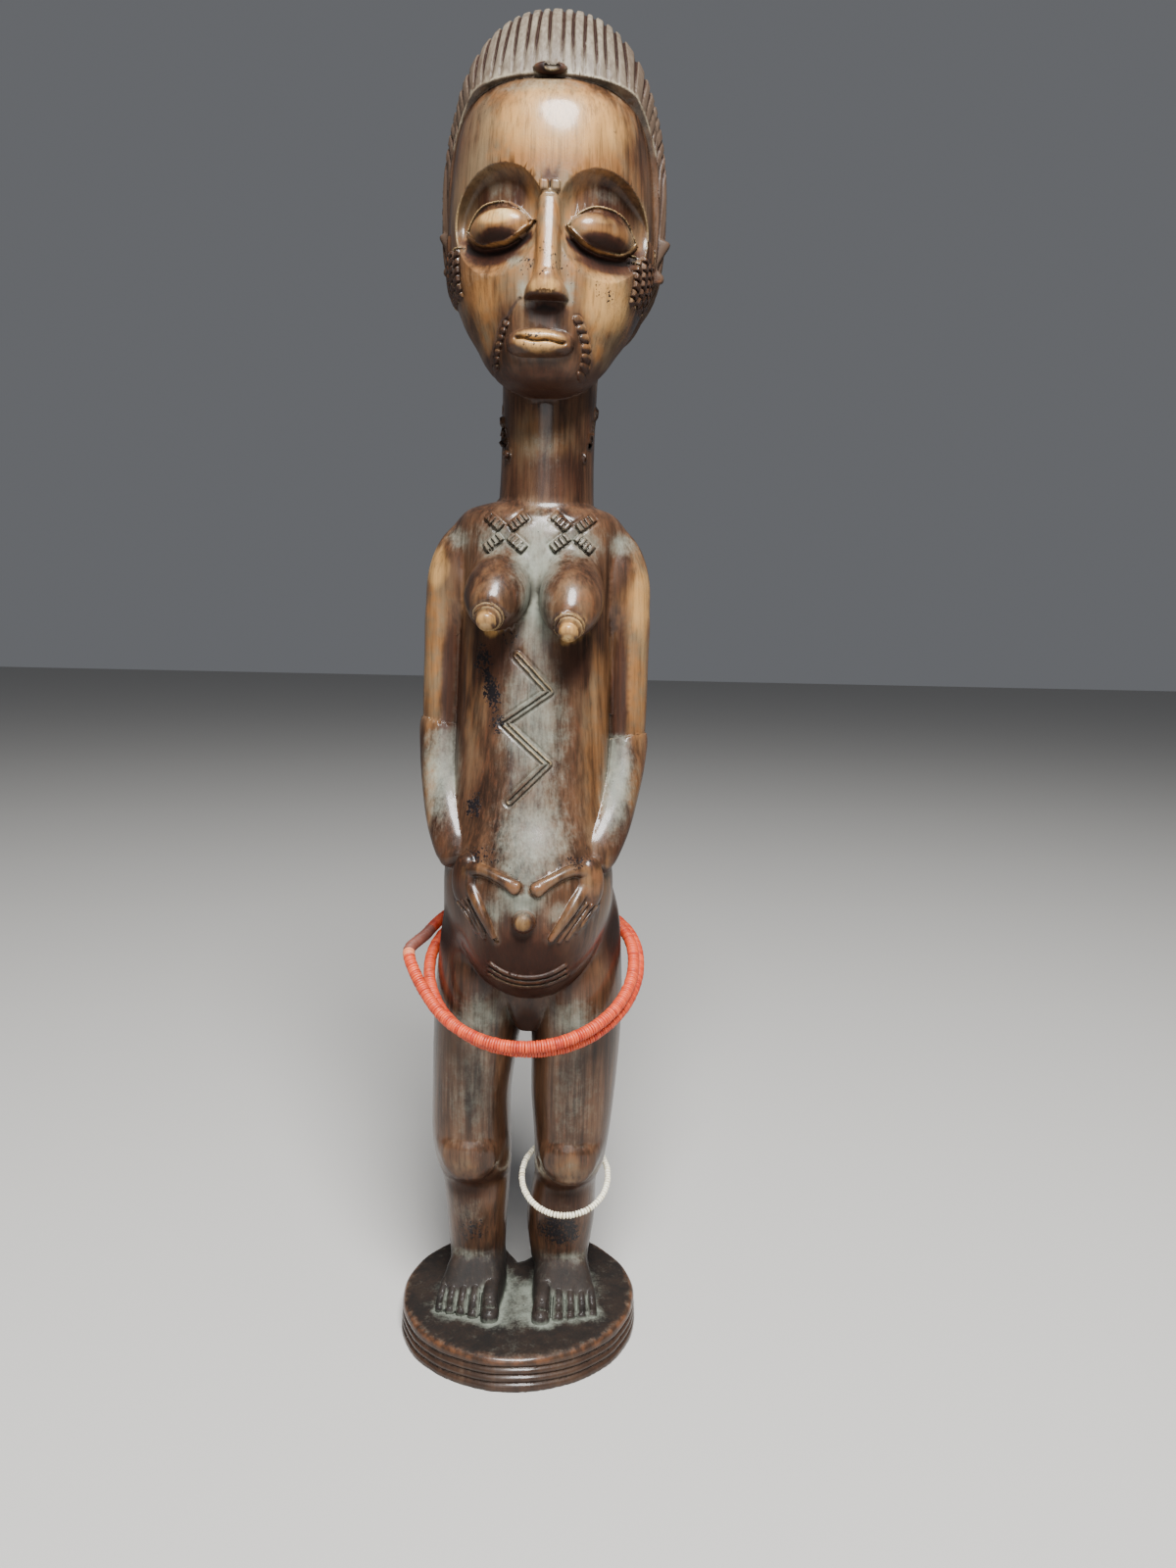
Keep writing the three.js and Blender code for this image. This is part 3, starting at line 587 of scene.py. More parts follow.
# Scars on the body, all of them low carving: a zigzag of two fine ridges down the torso, three arcs
# under the navel, and two crosses of small square blocks on the chest.
ZIGZAG = [(-6.2, 271), (5.9, 258.6), (-9.9, 247), (6.4, 233), (-6.9, 219.4)]
BELLY_ARCS = {"centre": (1.6, 179.2), "radius": 22.6, "spacing": 2.2, "spread": 0.64, "lines": 3}
CROSSES = [(-12, 314.6), (12, 315.2)]
CROSS_ARM = {"inner": 2.0, "length": 7.6, "blocks": 4, "half_width": 1.8, "height": 1.5}


def double_ridge(d):
    return 0.95 * bump(d - 0.85, 0.75) - 0.3 * bump(d, 0.45) - 0.45 * bump(d - 1.9, 0.9)


scar(ZIGZAG, double_ridge)

for line in range(BELLY_ARCS["lines"]):
    radius = BELLY_ARCS["radius"] + line * BELLY_ARCS["spacing"]
    spread = BELLY_ARCS["spread"] * (1 - 0.07 * line)
    angles = np.linspace(-spread, spread, 15)
    arc_x, arc_z = BELLY_ARCS["centre"]
    arc = [(arc_x + radius * math.sin(a), arc_z - radius * math.cos(a)) for a in angles]
    worn_lines.append(arc)
    scar(arc, flat_ridge(0.8, 1.05), reach=2)


def block_row(start, direction, arm):
    """A row of square blocks parted by V cuts, as seen from the front."""
    pitch = arm["length"] / arm["blocks"]

    def height(p):
        away = p[:, [0, 2]] - start
        run = away @ direction
        off = np.abs(away @ np.array([-direction[1], direction[0]]))
        inside = smooth_step(arm["half_width"] - off, -0.15, 0.3)
        inside = inside * smooth_step(run, -0.15, 0.2) * smooth_step(arm["length"] - run, -0.15, 0.2)
        saw = np.abs((run / pitch) % 1 - 0.5) * 2
        top = 1 - 0.85 * smooth_step(saw, 0.5, 1)
        moat = bump(np.maximum(off - arm["half_width"] - 0.5, 0), 0.9) * (1 - inside)
        moat = moat * smooth_step(run, -0.8, 0) * smooth_step(arm["length"] - run, -0.8, 0)
        return arm["height"] * inside * top - 0.3 * moat

    return height


for cx, cz in CROSSES:
    for right, up in ((1, 1), (1, -1), (-1, 1), (-1, -1)):
        direction = np.array([right * 0.76, up * 0.65])
        start = np.array([cx, cz]) + direction * CROSS_ARM["inner"]
        end = start + direction * CROSS_ARM["length"]
        block.front_relief(block_row(start, direction, CROSS_ARM), [start, end], 3)

# Neck and head: a strong round neck under a long oval face, with small blocks cut down each side of
# the neck. The jaw runs smoothly up to the temples, and the forehead is high and domed.
NECK_CENTRE = 1
NECK_POWER = 2.0
NECK = [
    # height, half width, front and back
    (298, 15, -10, 14), (315, 19, -17, 20.4), (326, 17.8, -15.5, 20), (345, 17.2, -15, 19.5),
    (380, 17.6, -16, 21),
]
CHIN = 362
HEAD_POWER = 2.15
HEAD = [
    # height, half width, front and back
    (CHIN, 8, -31, -12), (365.5, 15, -34.5, -4), (372, 21, -36.6, 8), (379, 25, -37.6, 20),
    (386, 29.4, -38, 28), (393, 32.6, -38, 33), (400, 35.6, -38, 36), (413, 36.8, -37, 38.5),
    (430, 36.6, -36.8, 39.5), (445, 35.2, -36.2, 39), (455, 33.2, -33.6, 37.5), (463, 29.5, -27.5, 34),
]
NECK_BLOCKS = {"top": 362, "bottom": 341, "radius": 18, "count": 5, "half": (1.6, 2.4, 1.5)}

block.join(column(NECK, NECK_POWER, ends=1.0, centre=NECK_CENTRE), blend=1.6)
block.join(column(HEAD, HEAD_POWER, ends=2.5, centre=0), blend=1.2)

for side in SIDES:
    for i in range(NECK_BLOCKS["count"]):
        share = (i + 0.5) / NECK_BLOCKS["count"]
        turn = math.radians(40 * (1 - share))
        z = NECK_BLOCKS["bottom"] + share * (NECK_BLOCKS["top"] - NECK_BLOCKS["bottom"])
        centre = (
            side * NECK_BLOCKS["radius"] * math.cos(turn) + NECK_CENTRE,
            2 - NECK_BLOCKS["radius"] * math.sin(turn), z)
        block.join(ellipsoid(centre, NECK_BLOCKS["half"], -side * turn), blend=0.5)

# Hair: combed up from the face and back to the nape in narrow ridges, with a clean raised edge over the
# forehead that sinks to the skin at the temples. The ridges run over the head and go round an upright
# line above each ear. Low above the brow they are only faint.
HAIR = {
    # a rounded cover: its half width, its reach above, below, before and behind the skull's centre, how
    # square it is, how far it sinks at the temples, and where these start and end at the side
    "centre": 0.7, "half": 40.4, "rise": 69.5, "drop": 60, "front": 32, "back": 45, "power": 2.3,
    "taper": 2.6, "temples": (26, 34),
}
HAIR_LOWEST = 374
SKULL_CENTRE = 425
HAIRLINE = [
    (-60, 474), (-27, 463), (-21, 460.5), (-16, 456), (-11, 449), (-7.5, 440), (-5, 424), (-1, 404),
    (8, 396), (26, 390), (60, 384),
]
RIDGE_REACH = 41.5
RIDGE_NARROWING = 6
CROWN = (450, 497)
RIDGE_EAR = (10, 385, 438)
RIDGE_FAN = 1.25
FAN_SIDE = (20, 36)
NAPE = 42
RIDGE_STEP = math.radians(5.7)
GROOVE_SHIFT = 0.6
HAIR_GROOVE = {"depth": 1.15, "half": 0.95}
FAINT_GROOVES = {"share": 0.75, "above": (449, 455), "below": (468, 482)}


def rounded(shares, halves, power):
    """Distance from a rounded form: an ellipsoid at power 2, and squarer the higher the power."""
    out = np.maximum((shares**power).sum(-1) ** (1 / power), 0.1)
    slope = np.linalg.norm(shares ** (power - 1) / halves, axis=1) * out ** (1 - power)
    return (out - 1) / np.maximum(slope, 0.01)


def hair_cover(p):
    """Distance from the outside of the hair, as if it covered the whole head."""
    halves = np.column_stack([
        np.full(len(p), HAIR["half"]),
        np.where(p[:, 1] < 0, HAIR["front"], HAIR["back"]),
        np.where(p[:, 2] > SKULL_CENTRE, HAIR["rise"], HAIR["drop"])])
    shares = np.abs(p - (HAIR["centre"], 0, SKULL_CENTRE)) / halves
    return rounded(shares, halves, HAIR["power"])


hairline_curve = curve(HAIRLINE)
hairline_slope = steepness(hairline_curve)


def hairline(p):
    """Distance from the edge of the hair, negative within the hair."""
    below = along(hairline_curve, p[:, 1])[0] - p[:, 2]
    return below / np.hypot(1, along(hairline_slope, p[:, 1])[0])


def hair_groove(p):
    """How deep a place lies in the nearest groove of the hair, from 0 to 1."""
    across = p[:, 0] - HAIR["centre"]
    reach = RIDGE_REACH - RIDGE_NARROWING * smooth_step(p[:, 2], *CROWN)
    upright = np.arcsin(np.clip(np.abs(across) / reach, 0, 1))
    ear_y, ear_low, ear_high = RIDGE_EAR
    from_ear = np.hypot(p[:, 1] - ear_y, p[:, 2] - np.clip(p[:, 2], ear_low, ear_high))
    around = RIDGE_FAN * np.arctan2(np.abs(across), from_ear)
    beside = smooth_step(np.abs(across), *FAN_SIDE) * smooth_step(NAPE - p[:, 1], 0, 30)
    angle = upright + beside * (around - upright)
    rough = angle / RIDGE_STEP - GROOVE_SHIFT
    nearest = np.maximum(np.round(rough), 0)
    wander = 0.07 * np.sin(0.09 * p[:, 2] + 0.07 * p[:, 1] + 2.4 * nearest + np.sign(across))
    off = np.abs(rough - nearest + wander) * RIDGE_STEP * reach
    deep_again = smooth_step(p[:, 2] + 0.35 * np.abs(p[:, 0]), *FAINT_GROOVES["below"])
    above_brow = smooth_step(p[:, 2], *FAINT_GROOVES["above"])
    faint = FAINT_GROOVES["share"] * (1 - deep_again) * above_brow * smooth_step(-p[:, 1], -10, 6)
    return bump(off, HAIR_GROOVE["half"]) * (1 - faint)


def hair_depth(p):
    edge = hairline(p)
    groove = HAIR_GROOVE["depth"] * hair_groove(p)
    at_side = smooth_step(np.abs(p[:, 0] - HAIR["centre"]), *HAIR["temples"])
    cover = hair_cover(p) + HAIR["taper"] * smooth_step(edge, -9, 0.5) * at_side
    return -blended(-cover - groove * smooth_step(-edge, 0.5, 1.4), -edge, 0.5)


block.join(Form(hair_depth, (-41, -34, HAIR_LOWEST - 2), (42, 46, CROWN[1])), blend=0.5)

# Eyes: each lies in a socket under a sharply cut brow, as a full eyeball between lids, with a fine
# raised rim drawn around it in an almond that is pointed at the nose.
EYES = [
    {"inner": -4.4, "outer": -27.9, "z": 414.6, "up": 7.5, "down": 6.7, "brow": (-16.4, 417.8)},
    {"inner": 6.8, "outer": 30.7, "z": 414, "up": 7.7, "down": 7, "brow": (19, 417.3)},
]
SOCKET = {"half": 15.6, "up": 15.4, "down": 20.5, "depth": 4.9}
LID_DEPTH = 2.6
RIM = {"at": -0.1, "half": 0.7}
EYEBALL = {"half": 0.45, "up": 6, "drop": 0.6, "rise": 4.9}


def almond(eye, x, z):
    """Distance from the outline of an eye, pointed at the nose and rounder at the other end."""
    middle, half = (eye["inner"] + eye["outer"]) / 2, (eye["outer"] - eye["inner"]) / 2
    t = (x - middle) / half
    power = np.where(t > 0, 3.6, 2.1)
    size = np.minimum(np.abs(t), 1)
    tall = np.where(z > eye["z"], eye["up"], eye["down"])
    slope = tall / abs(half) * power * size ** (power - 1)
    over = (np.abs(z - eye["z"]) - tall * (1 - size**power)) / np.hypot(1, slope)
    past = (np.abs(t) - 1) * abs(half)
    return np.where(past > 0, np.hypot(np.maximum(past, 0), z - eye["z"]), over)


def eye_relief(eye):
    brow_x, brow_z = eye["brow"]
    centre = (eye["inner"] + eye["outer"]) / 2
    half = abs(eye["outer"] - eye["inner"]) * EYEBALL["half"]
    ball_z = eye["z"] - EYEBALL["drop"]

    def height(p):
        x, _, z = p.T
        up = np.where(z > brow_z, SOCKET["up"], SOCKET["down"])
        out = np.hypot((x - brow_x) / SOCKET["half"], (z - brow_z) / up)
        sharp = 1 - (1 - np.clip((1 - out) / 0.3, 0, 1)) ** 2
        soft = np.maximum(1 - out**4, 0)
        share = smooth_step(z, brow_z - 9, brow_z + 1)
        sunk = SOCKET["depth"] * (soft + (sharp - soft) * share)
        edge = almond(eye, x, z)
        lid = smooth_step(-edge, -0.55, 0.35)
        ball = np.hypot((x - centre) / half, (z - ball_z) / EYEBALL["up"])
        bulge = EYEBALL["rise"] * np.maximum(1 - ball**2.2, 0) ** 0.55
        facing = smooth_step(-p[:, 1], 7, 19)
        rim = bump(edge - RIM["at"], RIM["half"])
        return facing * (-(sunk + (LID_DEPTH - sunk) * lid) + rim + bulge * lid)

    return height


for eye in EYES:
    block.front_relief(eye_relief(eye), [eye["brow"]], (17, 22), behind=-6)

# Nose and mouth: the nose is a long straight bar with a flat front, faceted at its tip and cut off
# flat below. The mouth is a flat oval that stands out, with a thin uneven slit.
NOSE_CENTRE = 1
NOSE_POWER = 3.2
NOSE_BACK = -22
NOSE = [
    (388.9, 7.4, -44.2), (390, 7.5, -44.9), (392.3, 7, -45.4), (395.3, 5.2, -45.3), (399, 4.4, -44.4),
    (414, 4.1, -41.2), (424, 3.7, -38.2),
]
MOUTH = {"centre": (-0.7, 375.6), "half": (11.4, 6, 4.8), "height": 3.4, "power": 2.7}
SLIT = {"from": -9.6, "to": 8.6, "half": 0.55, "depth": 1.5}

nose_rows = [(z, half, front, NOSE_BACK) for z, half, front in NOSE]
block.join(column(nose_rows, NOSE_POWER, ends=0.6, centre=NOSE_CENTRE), blend=0.5)


def tip_facets(p):
    """The two flat facets of the tip, which meet in an upright edge."""
    return 0.8 * np.maximum(1 - np.abs(p[:, 0] - NOSE_CENTRE) / 3.6, 0) * smooth_step(398 - p[:, 2], 0, 3)


block.relief(tip_facets, (-5, AHEAD, 390.2), (7, -40, 398))


def pillow(centre, half, power):
    centre, half = np.array(centre, float), np.array(half, float)
    return Form(lambda p: rounded(np.abs(p - centre) / half, half, power), centre - half, centre + half)


def slit_height(p):
    x, _, z = p.T
    across, up = MOUTH["centre"]
    out = np.hypot((x - across) / MOUTH["half"][0], (z - up) / MOUTH["half"][2])
    wavy = up + 0.1 + 0.25 * np.sin(0.7 * x) - 0.06 * x
    open_part = smooth_step(x, SLIT["from"], SLIT["from"] + 2) * smooth_step(SLIT["to"] - x, 0, 2)
    slit = SLIT["depth"] * bump(z - wavy, SLIT["half"] + 0.35) * open_part
    pout = 0.5 * bump(z - wavy + 1.9, 2.4) + 0.35 * bump(z - wavy - 1.7, 1.9)
    return (pout - slit) * smooth_step(1 - out, 0, 0.25)


lip_x, lip_z = MOUTH["centre"]
lip_y = block.front([lip_x], [lip_z], height=MOUTH["height"])[0, 1] + MOUTH["half"][1]
block.join(pillow((lip_x, lip_y, lip_z), MOUTH["half"], MOUTH["power"]), blend=0.3)
block.relief(slit_height, (-13.5, AHEAD, 369), (12, -20, 382))

# Scars on the face: a curved row of beads beside each corner of the mouth with a plain groove above
# the left one, two cubes between the brows, and on each temple a lattice of small raised squares
# with short upright strokes above it.
CHEEK_ROWS = [
    [(-12.6, 381.8), (-14, 378.6), (-15.2, 375), (-16, 372), (-16.4, 369.3)],
    [(11.6, 383.6), (13.3, 380), (14.4, 376.6), (14.8, 373.3), (14.4, 369.9), (13.4, 366.8)],
]
CHEEK_BEADS = {"count": 7, "height": 1.35, "size": 0.54}
CHEEK_TRENCH = {"depth": 0.8, "half": 2.4}
CHEEK_GROOVE = [(-7.8, 389), (-10, 385.8), (-12.4, 382.2)]
BROW_CUBES = [(-0.8, 425.2), (2.9, 425.2)]
CUBE_HALF = (1.6, 3, 1.9)
TEMPLE = {
    "low": 393.4, "high": 410, "rows": 6, "turn": 69, "step": 8, "columns": 4, "tilt": 0.4,
    "height": 1.9, "sunk": 0.8,
}
TEMPLE_STROKES = {"high": 416.5, "count": 4, "step": 4.2, "height": 1.1, "sunk": 0.35}


def bead_row(corners):
    """Round beads along a curve in a shallow trench, as seen from the front."""
    count = CHEEK_BEADS["count"]
    fine = through(corners)
    run = run_along(fine)
    centres = places_at(np.linspace(0, run[-1], count), run, fine)
    radius = run[-1] / (count - 1) * CHEEK_BEADS["size"]

    def height(p):
        places = p[:, [0, 2]]
        off = np.linalg.norm(places[:, None] - centres, axis=-1).min(axis=1)
        dome = np.sqrt(np.maximum(1 - (off / radius) ** 2, 0))
        trench = bump(on_line(p, fine[::10]), CHEEK_TRENCH["half"])
        return CHEEK_BEADS["height"] * dome - CHEEK_TRENCH["depth"] * trench

    block.front_relief(height, fine, 3, behind=-10)


for corners in CHEEK_ROWS:
    bead_row(corners)
scar(CHEEK_GROOVE, lambda d: -0.7 * bump(d, 1.3), behind=-20)

for x, z in BROW_CUBES:
    cube = block.front([x], [z], height=-1.2)[0]
    block.join(pillow(cube, CUBE_HALF, 5), blend=0.25)
block.relief(
    lambda p: -0.7 * bump(p[:, 2] - 422.6, 1.3) * bump(p[:, 0] - NOSE_CENTRE, 5.5),
    (-6, AHEAD, 420), (8, -20, 425))


def temple_lattice(side):
    """Slanting rows of small square studs, with short upright strokes above them."""
    pitch = (TEMPLE["high"] - TEMPLE["low"]) / TEMPLE["rows"]

    def height(p):
        z = p[:, 2]
        turn = np.degrees(np.arctan2(side * p[:, 0], -p[:, 1])) - TEMPLE["turn"]
        across, up = turn / TEMPLE["step"], (z - TEMPLE["low"]) / pitch
        inside = smooth_step(TEMPLE["columns"] / 2 - np.abs(across), -0.02, 0.12)
        inside = inside * smooth_step(up, -0.05, 0.15) * smooth_step(TEMPLE["rows"] - up, -0.05, 0.15)
        in_column = np.abs((across + TEMPLE["columns"] / 2) % 1 - 0.5)
        in_row = np.abs((up + TEMPLE["tilt"] * across) % 1 - 0.5)
        stud = np.clip(2.4 * (1 - 2 * np.maximum(in_column, in_row)), 0, 1)
        stroke = np.sin(math.pi * turn / TEMPLE_STROKES["step"]) ** 2
        above = smooth_step(z, TEMPLE["high"] + 0.2, TEMPLE["high"] + 0.9)
        above = above * smooth_step(TEMPLE_STROKES["high"] - z, -0.2, 0.6)
        far = TEMPLE_STROKES["count"] * TEMPLE_STROKES["step"]
        above = above * smooth_step(turn, -0.4, 0.6) * smooth_step(far - turn, -0.4, 0.6)
        studs = inside * (TEMPLE["height"] * stud - TEMPLE["sunk"])
        strokes = above * (TEMPLE_STROKES["height"] * stroke - TEMPLE_STROKES["sunk"])
        return smooth_step(hairline(p), 0, 0.8) * (studs + strokes)

    reach = sorted([side * 18, side * 42])
    block.relief(height, (reach[0], -36, TEMPLE["low"] - 2), (reach[1], 3, TEMPLE_STROKES["high"] + 2))


for side in SIDES:
    temple_lattice(side)

# Ears and hair ornament: each ear is a flat notched tab against the edge of the hair. A small lug
# stands at the middle of the hairline, with one eye-shaped hole.
EAR = [
    # height, how far it reaches and its thickness, from the lower lobe to the upper
    (405.4, 36.5, 2), (406.2, 39.4, 3.6), (408.4, 39.8, 3.8), (410, 38.2, 3.6), (410.9, 36.6, 3.4),
    (412, 37.4, 3.6), (416, 39.8, 4.4), (419, 41.6, 4.6), (420.2, 41.2, 4.4), (421.2, 38, 3),
]
EAR_MIDDLE = 1.2
EAR_FRONT = -2.4
LUG = {"centre": (-0.4, -28.8, 464.8), "half": (5.8, 2.2, 2)}
LUG_HOLE = {"shift": (0.6, -2.2, 0.1), "half": (2.6, 2, 0.95)}

for side in SIDES:
    ear = [
        (z, EAR_MIDDLE + side * (reach + 30) / 2, (reach - 30) / 2, EAR_FRONT, EAR_FRONT + thick)
        for z, reach, thick in EAR]
    block.join(column(ear, 3.0, ends=0.4), blend=0.3)

block.join(ellipsoid(LUG["centre"], LUG["half"]), blend=0.4)
block.cut(ellipsoid(np.add(LUG["centre"], LUG_HOLE["shift"]), LUG_HOLE["half"]), blend=0.2)

# The carved surface: one closed skin is laid over the block, coarse at first, and its edges are split
# until they are fine enough for the carving in each place. Along the ridges of the hair and the
# grooves of the base they stay longer than across them.
SKIN_LOW = (-52.0, -52.0, -3.0)
SKIN_HIGH = (54.0, 52.0, 501.0)
SKIN_PITCH = 2.6
TRIANGLES = 196000


def edge_ends(values, axis):
    """The values of a grid at the near and at the far end of its edges along an axis."""
    near, far = [slice(None)] * 3, [slice(None)] * 3
    near[axis], far[axis] = slice(0, -1), slice(1, None)
    return values[tuple(near)], values[tuple(far)]


def coarse_skin():
    """A closed skin with one point in each cell of a grid that the surface crosses."""
    axes = [np.arange(low, high, SKIN_PITCH) for low, high in zip(SKIN_LOW, SKIN_HIGH)]
    shape = tuple(len(axis) for axis in axes)
    grid = np.stack(np.meshgrid(*axes, indexing="ij"), axis=-1)
    value = block.depth(grid.reshape(-1, 3)).reshape(shape)
    value = np.where(np.abs(value) < 1e-6, 1e-6, value)
    cells = tuple(n - 1 for n in shape)
    total = np.zeros((*cells, 3))
    count = np.zeros(cells)
    for axis in range(3):
        near, far = edge_ends(value, axis)
        crossed = (near < 0) != (far < 0)
        share = near / np.where(crossed, near - far, 1)
        start, end = edge_ends(grid, axis)
        place = start + share[..., None] * (end - start)
        others = [other for other in range(3) if other != axis]
        for i in (0, 1):
            for j in (0, 1):
                part = [slice(None)] * 3
                part[others[0]] = slice(i, i + cells[others[0]])
                part[others[1]] = slice(j, j + cells[others[1]])
                part = tuple(part)
                total += place[part] * crossed[part][..., None]
                count += crossed[part]
    active = count > 0
    number = np.full(cells, -1)
    number[active] = np.arange(active.sum())
    points = total[active] / count[active][:, None]
    faces = []
    for axis in range(3):
        b, c = (axis + 1) % 3, (axis + 2) % 3
        near, far = [end < 0 for end in edge_ends(value, axis)]
        spots = np.argwhere(near != far)
        room = np.array(shape)[[b, c]] - 1
        spots = spots[((spots[:, [b, c]] > 0) & (spots[:, [b, c]] < room)).all(axis=1)]
        corners = []
        for shift_b, shift_c in ((1, 1), (0, 1), (0, 0), (1, 0)):
            cell = spots.copy()
            cell[:, b] -= shift_b
            cell[:, c] -= shift_c
            corners.append(number[tuple(cell.T)])
        quad = np.column_stack(corners)
        flip = ~near[tuple(spots.T)]
        quad[flip] = quad[flip][:, ::-1]
        faces.append(quad)
    quad = np.concatenate(faces)
    return points, np.concatenate([quad[:, [0, 1, 2]], quad[:, [0, 2, 3]]])


ZONES = [
    # lowest corner, highest corner, and how long an edge may be there in x, y and z
    # face, eyes and nose
    ((-38, -50, 362), (38, -8, 462), (1.8, 1.8, 2.0)),
    ((-33, -50, 399), (-2, -6, 436), (0.75, 0.9, 0.7)),
    ((4, -50, 398), (36, -6, 436), (0.75, 0.9, 0.7)),
    ((-8, -50, 386), (10, -25, 430), (0.7, 1.0, 0.9)),
    # mouth, scars on the cheeks and temples, hair lug
    ((-14, -50, 369), (13, -25, 382.5), (0.7, 0.8, 0.55)),
    ((-19, -50, 366), (-6.5, -25, 391), (0.5, 0.6, 0.5)),
    ((9.5, -50, 364), (17.5, -25, 387), (0.5, 0.6, 0.5)),
    ((-43, -36, 391), (-25, 3, 422), (0.6, 0.6, 0.55)),
    ((25, -36, 391), (45, 3, 422), (0.6, 0.6, 0.55)),
    ((-9, -36, 459), (9, -22, 472), (0.5, 0.6, 0.5)),
    # crosses, nipples and zigzag
    ((-22, -50, 306), (22, -8, 324), (0.6, 0.8, 0.6)),
    ((-21, -52, 272), (-10, -38, 289), (0.65, 0.7, 0.6)),
    ((7, -52, 269), (18, -38, 286), (0.65, 0.7, 0.6)),
    ((-14, -50, 215), (10, -20, 275), (0.7, 1.2, 0.7)),
    # elbows, forearms and wrists
    ((-45, -14, 235), (-24, 12, 248), (0.9, 1.2, 0.7)),
    ((24, -14, 238), (45, 17, 250), (0.9, 1.2, 0.7)),
    ((-34, -38, 200), (-18, -2, 242), (1.1, 1.1, 1.3)),
    ((18, -38, 200), (34, -2, 242), (1.1, 1.1, 1.3)),
    ((-35, -40, 188), (-14, -14, 206), (0.8, 0.9, 0.8)),
    ((14, -40, 188), (35, -14, 206), (0.8, 0.9, 0.8)),
    # hands, with their fine lines
    ((-31, -50, 166), (31, -12, 202), (0.8, 1.0, 0.8)),
    ((-27, -50, 167), (-9, -16, 187), (0.5, 1.0, 0.6)),
    ((9, -50, 168), (28, -16, 187), (0.5, 1.0, 0.6)),
    # arcs and lower edge of the belly, wedge between the thighs, toes
    ((-16, -50, 147), (19, -20, 168), (0.7, 1.0, 0.6)),
    ((-30, -46, 146), (30, -10, 160), (1.1, 1.2, 0.9)),
    ((-14, -30, 124), (16, -8, 150), (1.0, 1.2, 1.2)),
    ((-36, -32, 12), (36, -8, 24), (0.85, 1.0, 0.9)),
]
BASE_SPACING = (3.6, 3.6, 0.9)
HAIR_SPACING = (0.75, 4.2, 4.2)
HAIR_SIDE_SPACING = (0.85, 0.85, 1.1)
HAIR_SIDE_FROM = 0.55
HAIR_EDGE_SPACING = 1.0
PLAIN_SPACING = (2.7, 2.7, 3.6)
SPLIT_LIMITS = (2.5, 1.5, 1.0)
FEW_SPLITS = 300


def spacing(points):
    """How long an edge may be at each place, in x, y and z."""
    body = unlean(points)
    found = np.tile(np.array(PLAIN_SPACING), (len(points), 1))
    found[points[:, 2] < BASE_TOP + 0.6] = BASE_SPACING
    hair = (hairline(body) < 1.2) & (body[:, 2] > HAIR_LOWEST) & (hair_cover(body) < 3)
    side = np.clip((body[:, 0] - HAIR["centre"]) / RIDGE_REACH, -0.995, 0.995)
    strands = np.tile(np.array(HAIR_SPACING), (len(points), 1))
    strands[:, 0] *= np.maximum(np.sqrt(1 - side**2), 0.3)
    strands[np.abs(side) > HAIR_SIDE_FROM] = HAIR_SIDE_SPACING
    strands[hairline(body) > -1.6, 1:] = HAIR_EDGE_SPACING
    found[hair] = strands[hair]
    for low, high, lengths in ZONES:
        inside = ((body > low) & (body < high)).all(axis=1) & ~hair
        found[inside] = np.minimum(found[inside], lengths)
    return found


def edge_list(faces, count):
    """Each edge once, and for each face the numbers of its three edges."""
    ends = np.sort(faces[:, [0, 1, 1, 2, 2, 0]].reshape(-1, 2), axis=1)
    key, of_face = np.unique(ends[:, 0] * count + ends[:, 1], return_inverse=True)
    return np.column_stack([key // count, key % count]), of_face.reshape(-1, 3)


def split_once(points, faces, limit):
    edges, of_face = edge_list(faces, len(points))
    start, end = points[edges[:, 0]], points[edges[:, 1]]
    length = np.linalg.norm((end - start) / spacing((start + end) / 2), axis=1)
    long = length > limit
    fresh = np.full(len(edges), -1)
    fresh[long] = len(points) + np.arange(long.sum())
    middles = block.settle((start[long] + end[long]) / 2)
    split = long[of_face]
    how_many = split.sum(axis=1)
    made = [faces[how_many == 0]]
    # turn each face so that its one split edge comes first, or its one whole edge last
    first = np.where(how_many == 1, split.argmax(axis=1), 0)
    first = np.where(how_many == 2, (split.argmin(axis=1) + 1) % 3, first)
    order = (first[:, None] + np.arange(3)) % 3
    a, b, c = np.take_along_axis(faces, order, axis=1).T
    ab, bc, ca = np.take_along_axis(fresh[of_face], order, axis=1).T
    long_ab, long_bc = np.take_along_axis(length[of_face], order, axis=1).T[:2]
    one = how_many == 1
    made += [np.column_stack([a, ab, c])[one], np.column_stack([ab, b, c])[one]]
    two = how_many == 2
    made.append(np.column_stack([ab, b, bc])[two])
    by_ab = two & (long_ab >= long_bc)
    made += [np.column_stack([a, ab, c])[by_ab], np.column_stack([ab, bc, c])[by_ab]]
    by_bc = two & (long_ab < long_bc)
    made += [np.column_stack([a, ab, bc])[by_bc], np.column_stack([a, bc, c])[by_bc]]
    three = how_many == 3
    made += [
        np.column_stack(corners)[three]
        for corners in ((a, ab, ca), (ab, b, bc), (ca, bc, c), (ab, bc, ca))]
    return np.concatenate([points, middles]), np.concatenate(made), int(long.sum())


def relax(points, faces, share=0.35):
    """Evens out the points along the surface and settles them on it again."""
    edges, _ = edge_list(faces, len(points))
    total = np.zeros_like(points)
    count = np.bincount(edges.ravel(), minlength=len(points))
    for near, far in ((0, 1), (1, 0)):
        for axis in range(3):
            total[:, axis] += np.bincount(
                edges[:, near], weights=points[edges[:, far], axis], minlength=len(points))
    shift = (total / np.maximum(count, 1)[:, None] - points) * share
    slope = unit(block.slope(points)[0])
    shift -= (shift * slope).sum(axis=1)[:, None] * slope
    return block.settle(points + shift, rounds=1)


